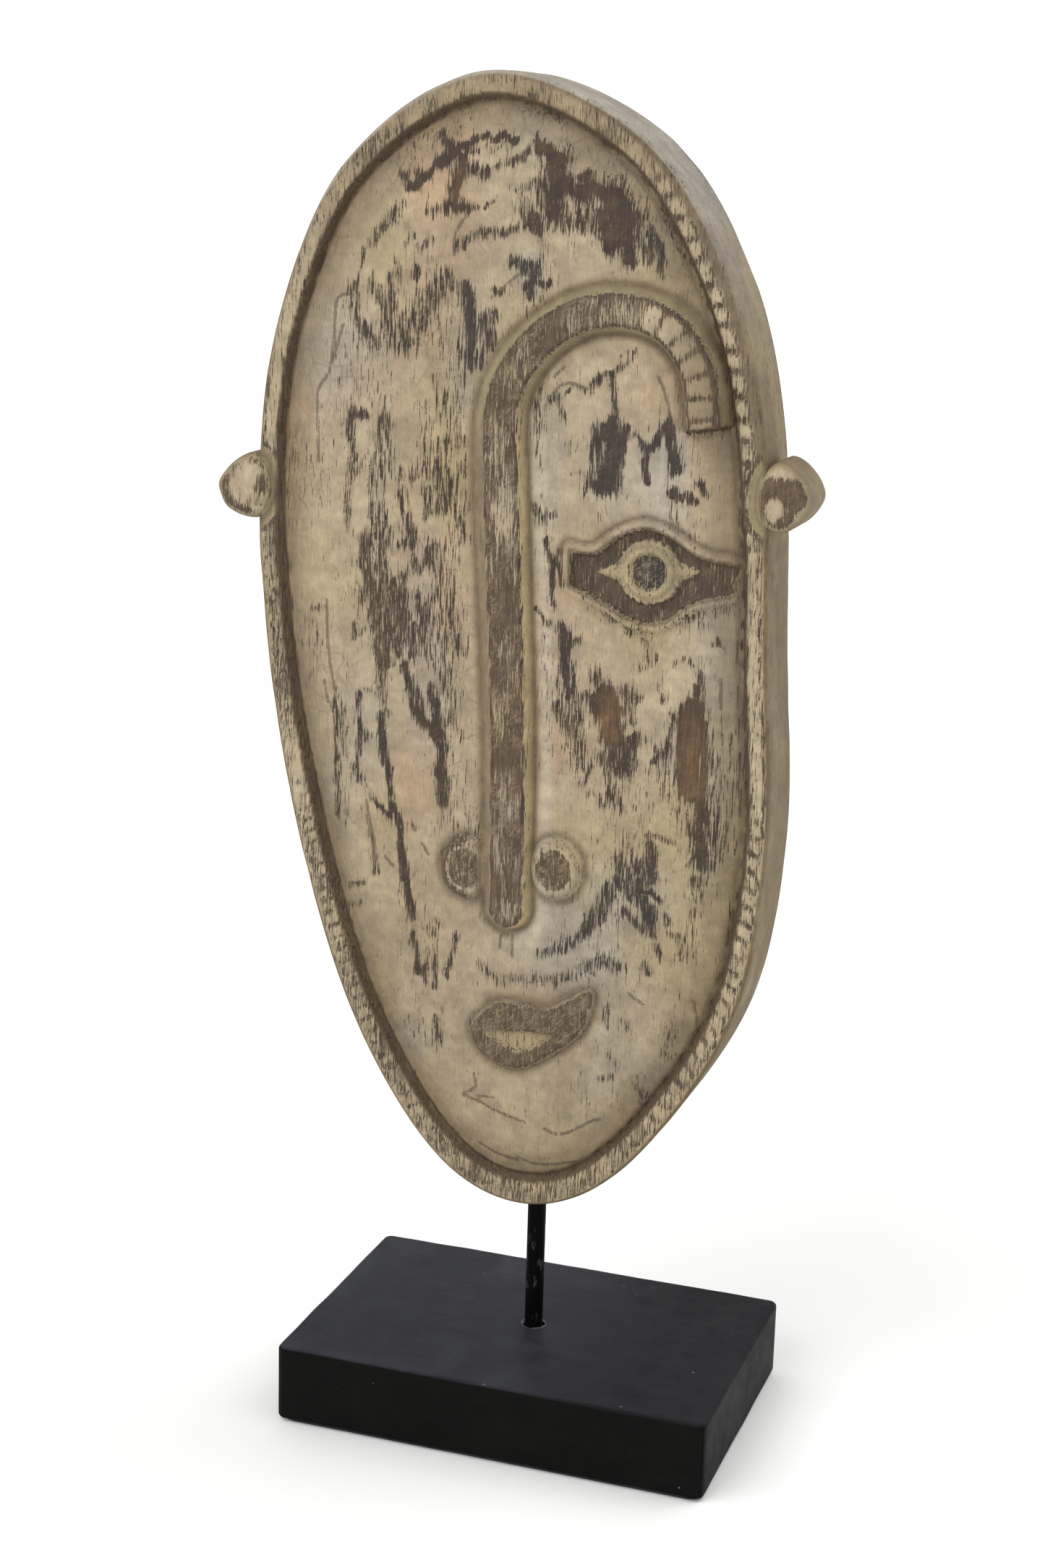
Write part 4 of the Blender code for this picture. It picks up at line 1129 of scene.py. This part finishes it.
def make_ear(name, outline, patch_shapes, crack):
    """A knob on the board's side: a nearly flat, worn face with a rounded edge, on a stem that goes back."""
    line = spline(outline, closed=True, span_points=12)
    centre = line.mean(0)
    uneven = [lumps(line[:, 0], line[:, 1], 9, 9, seed) for seed in (41, 42)]
    line = line + 0.4 * np.column_stack(uneven)
    size = len(line)
    front_rings, side_rings = ear_profile()
    profile = np.array(front_rings + side_rings)
    flat = (centre + (line - centre)[None] * profile[:, 0][:, None, None]).reshape(-1, 2)
    reach, levels = np.repeat(profile[:, 0], size), np.repeat(profile[:, 1], size)
    front = np.repeat(np.arange(len(profile)) < len(front_rings), size)
    x, z = flat[:, 0], flat[:, 1]
    levels = levels + front * (0.35 * lumps(x, z, 6, 7, 43) - 0.7 * bump(reach, 0.84, 0.05))

    amounts = side_amounts(flat, levels)
    paint = over(amounts["paint"], CREAM, front * (1 - rise(reach, 0.84, 0.92)))
    paint = over(paint, OLIVE_PALE, 0.9 * bump(reach, 0.9, 0.07) * front)
    cream = patches(x + 1.2 * lumps(x, z, 3, 4, 44), z + 1.2 * lumps(x, z, 3, 4, 45), patch_shapes)
    wear = np.where(front, 1.1 * (1 - rise(reach, 0.8, 0.88)) - 1.5 * cream, amounts["wear"])
    wood = over(amounts["wood"], STAIN, front)
    gap, _, _, _ = nearest_on_line(flat, spline(crack, closed=False, span_points=6), closed=False)
    crack_gap = np.where(front, np.minimum(gap, NO_CRACK), NO_CRACK)
    amounts.update({"paint": paint, "wood": wood, "wear": wear, "crack_gap": crack_gap})
    faces = rings_joined(len(profile), size)
    faces[0] = tuple(range(size))
    ear = mesh_object(name, to_metres(flat, levels), faces, amounts)
    face_outwards(ear)
    return ear


def dense_ends(low, high, step):
    """Places from low to high, close together near both ends."""
    ends = np.array((0, 0.3, 0.7, 1.2, 1.8, 2.6, 4.0))
    inner = np.linspace(low + 4.0, high - 4.0, max(2, int((high - low - 8) / step)))
    return np.unique(np.concatenate([low + ends, inner, high - ends]).round(4))


def box_shell(low, high):
    """The six faces of a box as grids that share their points along the edges."""
    grids = [dense_ends(low[axis], high[axis], BASE_GRID) for axis in range(3)]
    numbers, faces = {}, []
    for axis in range(3):
        first, second = (grids[other] for other in range(3) if other != axis)
        for level in (low[axis], high[axis]):
            for i in range(len(first) - 1):
                for j in range(len(second) - 1):
                    corners = ((i, j), (i + 1, j), (i + 1, j + 1), (i, j + 1))
                    places = [np.insert((first[a], second[b]), axis, level).round(4) for a, b in corners]
                    faces.append([numbers.setdefault(tuple(place), len(numbers)) for place in places])
    return np.array(list(numbers)), faces


def worn_round(places, low, high):
    """The box's points moved in, so that its edges are rounded unevenly and its upright corners more."""
    x, y, z = places.T
    wear = lumps(x, y + z, 26, 26, 51) + 0.5 * lumps(x, y, 7, 7, 52)
    radius = (BASE_EDGE_ROUND + 0.5 * np.clip(wear, -1, 1))[:, None]
    core = np.clip(places, low + radius, high - radius)
    away = places - core
    places = core + away / np.maximum(np.linalg.norm(away, axis=1), 1e-6)[:, None] * radius
    plan = places[:, :2]
    inner = np.clip(plan, low[:2] + BASE_CORNER_ROUND, high[:2] - BASE_CORNER_ROUND)
    away = plan - inner
    square = np.abs(away).max(1) / np.maximum(np.linalg.norm(away, axis=1), 1e-6)
    return np.column_stack([inner + away * square[:, None], places[:, 2]])


def base_hole(bottom, top):
    """The cutter for the rod's stepped hole: a torn mouth on top and a counterbore below."""
    counterbore = bottom + COUNTERBORE_DEPTH
    cutter = turned("hole_cutter", (
        (6.3, top + 3), (6.0, top), (5.6, top - 0.7), (BASE_HOLE_RADIUS, top - 2),
        (BASE_HOLE_RADIUS, top - ROD_IN_BASE), (THIN_HOLE_RADIUS, top - ROD_IN_BASE),
        (THIN_HOLE_RADIUS, counterbore), (COUNTERBORE_RADIUS, counterbore), (COUNTERBORE_RADIUS, bottom - 3),
    ), 64)
    for vertex in cutter.data.vertices:
        turn = math.atan2(vertex.co.y, vertex.co.x)
        torn = 0.06 * math.sin(3 * turn + 1) + 0.04 * math.sin(7 * turn) + 0.02 * math.sin(13 * turn + 2)
        if vertex.co.z > (top - 0.9) * MM:
            vertex.co.x *= 1 + torn
            vertex.co.y *= 1 + torn
    return cutter


def make_base():
    """The base block: worn rounded edges, and the rod's hole with a torn mouth over a counterbore."""
    low, high = np.array(BASE_LOW) / MM, np.array(BASE_HIGH) / MM
    places, faces = box_shell(low, high)
    block = mesh_object("black_base", worn_round(places, low, high) * MM, faces)
    face_outwards(block)
    cut(block, base_hole(low[2], high[2]))
    block.data.set_sharp_from_angle(angle=math.radians(50))
    return block


def make_rod():
    """The rod, with slight dents, its thin end below the shoulder and a chamfer at its foot."""
    bottom, top = ROD_LOW.z / MM, ROD_HIGH.z / MM
    shoulder = BASE_HIGH.z / MM - ROD_IN_BASE + 0.3
    rings = [(ROD_THIN_RADIUS - 0.8, bottom), (ROD_THIN_RADIUS, bottom + 0.8)]
    rings += [(ROD_THIN_RADIUS, shoulder - 0.01), (ROD_RADIUS, shoulder)]
    rings += [(ROD_RADIUS, height) for height in np.arange(shoulder + 2, top - 1, 2.0)]
    rings += [(ROD_RADIUS, top - 0.8), (ROD_RADIUS - 0.8, top)]
    rod = turned("black_rod", rings, 64)
    for vertex in rod.data.vertices:
        around = math.atan2(vertex.co.y, vertex.co.x) * ROD_RADIUS
        spot = np.array([around]), np.array([vertex.co.z / MM])
        dent = 1 + 0.012 * min(0, float(lumps(spot[0], spot[1], 2.4, 7, 61)[0]))
        vertex.co.x *= dent
        vertex.co.y *= dent
    rod.data.set_sharp_from_angle(angle=math.radians(40))
    return rod


# ---------------------------------------------------------------- materials


class Shader:
    """One material and short calls that add nodes to it. Each call gives back the socket it makes."""

    def __init__(self, name):
        self.material = bpy.data.materials.new(name)
        self.material.use_nodes = True
        self.nodes = self.material.node_tree.nodes
        self.links = self.material.node_tree.links
        self.surface = self.nodes["Principled BSDF"]

    def feed(self, socket, value):
        if isinstance(value, bpy.types.NodeSocket):
            self.links.new(value, socket)
        else:
            socket.default_value = value

    def add(self, kind, **settings):
        node = self.nodes.new(kind)
        for key, value in settings.items():
            setattr(node, key, value)
        return node

    def place(self):
        return self.add("ShaderNodeTexCoord").outputs["Object"]

    def amount(self, name):
        return self.add("ShaderNodeAttribute", attribute_name=name).outputs["Fac"]

    def tint(self, name):
        return self.add("ShaderNodeAttribute", attribute_name=name).outputs["Color"]

    def maths(self, operation, first, second=0.0, clamp=False):
        node = self.add("ShaderNodeMath", operation=operation, use_clamp=clamp)
        self.feed(node.inputs[0], first)
        self.feed(node.inputs[1], second)
        return node.outputs[0]

    def along(self, vector, axis):
        node = self.add("ShaderNodeSeparateXYZ")
        self.feed(node.inputs[0], vector)
        return node.outputs[axis]

    def stretched(self, place, x, y, z, lean=0.0):
        """Texture places that change this fast along each axis, turned by the lean about Y."""
        node = self.add("ShaderNodeMapping", vector_type="TEXTURE")
        self.feed(node.inputs["Vector"], place)
        node.inputs["Rotation"].default_value = (0, lean, 0)
        node.inputs["Scale"].default_value = (1 / x, 1 / y, 1 / z)
        return node.outputs["Vector"]

    def noise(self, place, scale=1.0, detail=3.0, roughness=0.55, distortion=0.0):
        node = self.add("ShaderNodeTexNoise")
        self.feed(node.inputs["Vector"], place)
        node.inputs["Scale"].default_value = scale
        node.inputs["Detail"].default_value = detail
        node.inputs["Roughness"].default_value = roughness
        node.inputs["Distortion"].default_value = distortion
        return node.outputs["Fac"]

    def cells(self, place, scale=1.0, feature="F1"):
        node = self.add("ShaderNodeTexVoronoi", feature=feature)
        self.feed(node.inputs["Vector"], place)
        node.inputs["Scale"].default_value = scale
        return node.outputs["Distance"]

    def step(self, value, low, high, start=0.0, end=1.0):
        """start below low, end above high, and smooth between."""
        node = self.add("ShaderNodeMapRange", interpolation_type="SMOOTHSTEP")
        self.feed(node.inputs["Value"], value)
        node.inputs["From Min"].default_value = low
        node.inputs["From Max"].default_value = high
        node.inputs["To Min"].default_value = start
        node.inputs["To Max"].default_value = end
        return node.outputs["Result"]

    def mix(self, share, first, second):
        node = self.add("ShaderNodeMix", data_type="RGBA")
        for socket, value in zip((node.inputs[0], node.inputs[6], node.inputs[7]), (share, first, second)):
            self.feed(socket, value)
        return node.outputs[2]

    def shade(self, base, *factors):
        """The colour made darker or lighter by each of these factors."""
        for factor in factors:
            node = self.add("ShaderNodeMix", data_type="RGBA", blend_type="MULTIPLY")
            node.inputs[0].default_value = 1.0
            self.feed(node.inputs[6], base)
            self.feed(node.inputs[7], factor)
            base = node.outputs[2]
        return base

    def finish(self, base, roughness, height=None, strength=0.3, distance=0.001):
        self.feed(self.surface.inputs["Base Color"], base)
        self.feed(self.surface.inputs["Roughness"], roughness)
        if height is not None:
            node = self.add("ShaderNodeBump")
            node.inputs["Strength"].default_value = strength
            node.inputs["Distance"].default_value = distance
            self.feed(node.inputs["Height"], height)
            self.links.new(node.outputs["Normal"], self.surface.inputs["Normal"])
        return self.material


def whitewashed_wood():
    """Cream whitewash brushed over dark stained wood and rubbed through along the upright grain."""
    s = Shader("whitewashed_wood")
    place = s.place()
    fine = s.noise(s.stretched(place, 1700, 800, 115), detail=2, roughness=0.6)
    streaks = s.noise(s.stretched(place, 850, 450, 50), detail=3, roughness=0.6)
    mottled = s.noise(place, scale=120, detail=5, roughness=0.65)
    clouds = s.noise(place, scale=36, detail=3)
    ragged = s.noise(place, scale=600, detail=3, roughness=0.7)

    grain = s.maths("ADD", s.maths("MULTIPLY", fine, 3.4), s.maths("MULTIPLY", streaks, 1.4))
    rubbed = s.maths("ADD", s.amount("wear"), s.maths("ADD", grain, s.maths("MULTIPLY", ragged, 0.8)))
    worn = s.step(rubbed, 3.22, 3.42)
    edge = s.maths("ADD", s.amount("crack_gap"), s.maths("MULTIPLY", s.maths("SUBTRACT", ragged, 0.5), 1.5))
    edge = s.maths("ADD", edge, s.maths("MULTIPLY", s.maths("SUBTRACT", streaks, 0.5), 2.0))
    crack = s.step(edge, 0.55, 1.1, 0.6, 0.0)
    veins = s.cells(s.stretched(place, 95, 95, 55), feature="DISTANCE_TO_EDGE")
    veins = s.maths("ADD", veins, s.maths("MULTIPLY", s.maths("SUBTRACT", mottled, 0.5), 0.25))
    veins = s.maths("MULTIPLY", s.step(veins, 0.01, 0.04, 0.22, 0.0), s.amount("network"))
    worn = s.maths("MAXIMUM", worn, s.maths("MAXIMUM", crack, veins))

    paint = s.shade(
        s.tint("paint"),
        s.step(mottled, 0.3, 0.7, 1.12, 0.8),
        s.step(clouds, 0.35, 0.7, 0.94, 1.12),
        s.step(fine, 0.4, 0.75, 0.94, 1.16),
        s.step(rubbed, 2.9, 3.24, 1.0, 0.62),
    )
    wood = s.shade(
        s.tint("wood"),
        s.step(streaks, 0.35, 0.65, 1.1, 0.6),
        s.step(mottled, 0.4, 0.75, 0.8, 1.3),
    )
    dry = s.noise(s.stretched(place, 230, 800, 1500, lean=-0.75), detail=3, roughness=0.75, distortion=0.6)
    dry = s.step(s.maths("ADD", dry, s.maths("MULTIPLY", mottled, 0.5)), 0.76, 0.88)
    dry = s.maths("MULTIPLY", dry, s.maths("MULTIPLY", s.amount("scratch"), 0.8))
    wood = s.mix(dry, wood, colour(DRY_PAINT))
    skin = s.mix(worn, paint, wood)

    depth = s.maths("ADD", s.maths("MULTIPLY", worn, -0.5), s.maths("MULTIPLY", fine, 0.6))
    depth = s.maths("ADD", depth, s.maths("MULTIPLY", mottled, 0.6))
    return s.finish(skin, s.step(worn, 0.0, 1.0, 0.78, 0.62), depth, strength=0.6, distance=0.001)


def black_paint():
    """Satin black paint on wood: a top painted paler than the sides as a painted sheen, with dust and faint
    streaks on it and a painted shadow right of the rod, small chips, and chips round the rod.
    """
    s = Shader("black_painted_wood")
    place = s.place()
    grain = s.noise(s.stretched(place, 22, 240, 240), detail=5, roughness=0.65)
    dust = s.noise(place, scale=45, detail=6, roughness=0.7)
    smears = s.noise(place, scale=14, detail=4, distortion=0.8)
    upward = s.step(s.along(s.add("ShaderNodeNewGeometry").outputs["Normal"], "Z"), 0.5, 0.9)
    across, deep = s.along(place, "X"), s.along(place, "Y")
    base = s.mix(s.step(dust, 0.4, 0.75), colour(BASE_SIDE), colour(BASE_SIDE_DUSTY))
    # Painted sheen: the top is the same satin black as the sides, drawn paler, with real dust and smears on
    # it
    top = s.mix(s.step(dust, 0.35, 0.7), colour(BASE_TOP_SHEEN), colour(BASE_TOP_SHEEN_DUSTY))
    top = s.mix(s.step(smears, 0.45, 0.7, 0, 0.7), top, colour(BASE_TOP_SHEEN_SMEARED))
    # Painted shadow: the top is darker right of the rod
    shaded = s.maths("ADD", across, s.maths("MULTIPLY", smears, 0.03))
    top = s.mix(s.step(shaded, 0.0, 0.09), top, colour(BASE_TOP_SHADED))
    base = s.mix(upward, base, top)
    base = s.mix(s.step(grain, 0.55, 0.8, 0, 0.5), base, colour(BASE_GRAIN))
    squares = s.maths("ADD", s.maths("MULTIPLY", across, across), s.maths("MULTIPLY", deep, deep))
    radius = s.maths("ADD", s.maths("SQRT", squares), s.maths("MULTIPLY", dust, 0.005))
    chipped = s.maths("MULTIPLY", upward, s.step(radius, 0.0088, 0.01, 0.4, 0))
    specks = s.step(s.cells(place, scale=75), 0.03, 0.07, 0.7, 0)
    specks = s.maths("MULTIPLY", specks, s.step(smears, 0.52, 0.6))
    base = s.mix(s.maths("MAXIMUM", chipped, specks), base, colour(BASE_CHIPPED))
    s.surface.inputs["Specular IOR Level"].default_value = 0.07
    roughness = s.step(dust, 0.3, 0.8, 0.5, 0.68)
    return s.finish(base, roughness, s.maths("ADD", grain, s.maths("MULTIPLY", dust, 0.6)), strength=0.14)


def black_steel():
    """Painted rod with a few grey rubs."""
    s = Shader("black_painted_steel")
    place = s.place()
    rubs = s.noise(s.stretched(place, 160, 160, 70), detail=4, roughness=0.7)
    base = s.mix(s.step(rubs, 0.56, 0.7, 0, 0.8), colour(ROD_BLACK), colour(ROD_RUBBED))
    s.surface.inputs["Specular IOR Level"].default_value = 0.05
    return s.finish(base, s.step(rubs, 0.3, 0.8, 0.45, 0.6), rubs, strength=0.1)


def zinc():
    """Faintly clouded zinc plate, on the washer and the nut."""
    s = Shader("zinc_plated_steel")
    place = s.place()
    cloud = s.noise(place, scale=300, detail=4)
    s.surface.inputs["Metallic"].default_value = 1.0
    base = s.mix(cloud, colour(ZINC_DARK), colour(ZINC_PALE))
    return s.finish(base, s.step(cloud, 0.3, 0.7, 0.3, 0.5), cloud, strength=0.1)


def felt():
    """Black felt with fine fibres."""
    s = Shader("black_felt")
    place = s.place()
    fibres = s.noise(place, scale=1800, detail=4, roughness=0.8, distortion=1.5)
    base = s.mix(fibres, colour(FELT_DARK), colour(FELT_PALE))
    s.surface.inputs["Sheen Weight"].default_value = 0.3
    return s.finish(base, 0.95, fibres, strength=0.6)


# ---------------------------------------------------------------- stage, light and camera


def make_stage():
    """A round pale floor that sweeps up into a pale wall, under an even sky."""
    turn = np.radians(np.linspace(0, 90, 13))
    profile = [(radius, 0.0) for radius in np.linspace(0.4, STAGE_RADIUS, 8)]
    profile += [
        (STAGE_RADIUS + STAGE_SWEEP * math.sin(a), STAGE_SWEEP * (1 - math.cos(a))) for a in turn[1:]
    ]
    profile.append((STAGE_RADIUS + STAGE_SWEEP, STAGE_WALL))
    angles = np.arange(STAGE_SIDES) * math.tau / STAGE_SIDES
    points = [(r * math.cos(a), r * math.sin(a), h) for r, h in profile for a in angles]
    faces = [tuple(range(STAGE_SIDES))]
    for ring in range(len(profile) - 1):
        for i in range(STAGE_SIDES):
            j = (i + 1) % STAGE_SIDES
            low, high = ring * STAGE_SIDES, (ring + 1) * STAGE_SIDES
            faces.append((low + i, high + i, high + j, low + j))
    floor = mesh_object("studio_floor", points, faces)
    s = Shader("pale_floor")
    tone = s.noise(s.place(), scale=3)
    floor.data.materials.append(s.finish(s.mix(tone, colour(FLOOR_DARK), colour(FLOOR_PALE)), 0.9))
    world = bpy.data.worlds.new("studio")
    bpy.context.scene.world = world
    world.use_nodes = True
    world.node_tree.nodes["Background"].inputs["Color"].default_value = (1, 1, 1, 1)
    world.node_tree.nodes["Background"].inputs["Strength"].default_value = SKY


def sun(name, towards, strength, spread):
    """A far, soft light shining this way."""
    data = bpy.data.lights.new(name, "SUN")
    data.energy = strength
    data.angle = math.radians(spread)
    lamp = bpy.data.objects.new(name, data)
    lamp.rotation_euler = Vector(towards).to_track_quat("-Z", "Y").to_euler()
    lamp.location = -2 * Vector(towards)
    bpy.context.scene.collection.objects.link(lamp)


def make_camera():
    """The camera stands to the right of the object and looks a little down at it."""
    azimuth, elevation = math.radians(CAMERA_AZIMUTH), math.radians(CAMERA_ELEVATION)
    low, high = CAD_BOUNDS
    aim = (Vector(low) + Vector(high)) / 2 + Vector(CAMERA_AIM)
    away = Vector((
        math.sin(azimuth) * math.cos(elevation),
        -math.cos(azimuth) * math.cos(elevation),
        math.sin(elevation),
    ))
    data = bpy.data.cameras.new("camera")
    data.sensor_width = 36
    data.lens = CAMERA_LENS
    data.clip_start = 0.01
    camera = bpy.data.objects.new("camera", data)
    camera.location = aim + away * CAMERA_DISTANCE
    camera.rotation_euler = (-away).to_track_quat("-Z", "Y").to_euler()
    camera.rotation_euler.rotate_axis("Z", math.radians(CAMERA_ROLL))
    bpy.context.scene.collection.objects.link(camera)
    bpy.context.scene.camera = camera


def main():
    bpy.context.scene.view_settings.view_transform = "Standard"
    wood = whitewashed_wood()
    mask = make_mask()
    mask.data.materials.clear()
    mask.data.materials.append(wood)
    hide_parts("mask")
    ears = [
        make_ear("left_ear", LEFT_EAR, LEFT_EAR_PATCHES, LEFT_EAR_CRACK),
        make_ear("right_ear", RIGHT_EAR, RIGHT_EAR_PATCHES, RIGHT_EAR_CRACK),
    ]
    for ear in ears:
        ear.data.materials.append(wood)
    for piece in (mask, *ears):
        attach(piece, "mask")
    block = make_base()
    block.data.materials.clear()
    block.data.materials.append(black_paint())
    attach(block, "stand")
    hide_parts("base_block")
    rod = make_rod()
    rod.data.materials.append(black_steel())
    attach(rod, "rod")
    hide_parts("support_rod")
    for node, material in (("rod_washer", zinc()), ("rod_nut", zinc()), ("felt_sheet", felt())):
        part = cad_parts[node]
        part.data.materials.clear()
        part.data.materials.append(material)
    make_stage()
    for name, towards, strength, spread in SUNS:
        sun(name, towards, strength, spread)
    make_camera()


main()
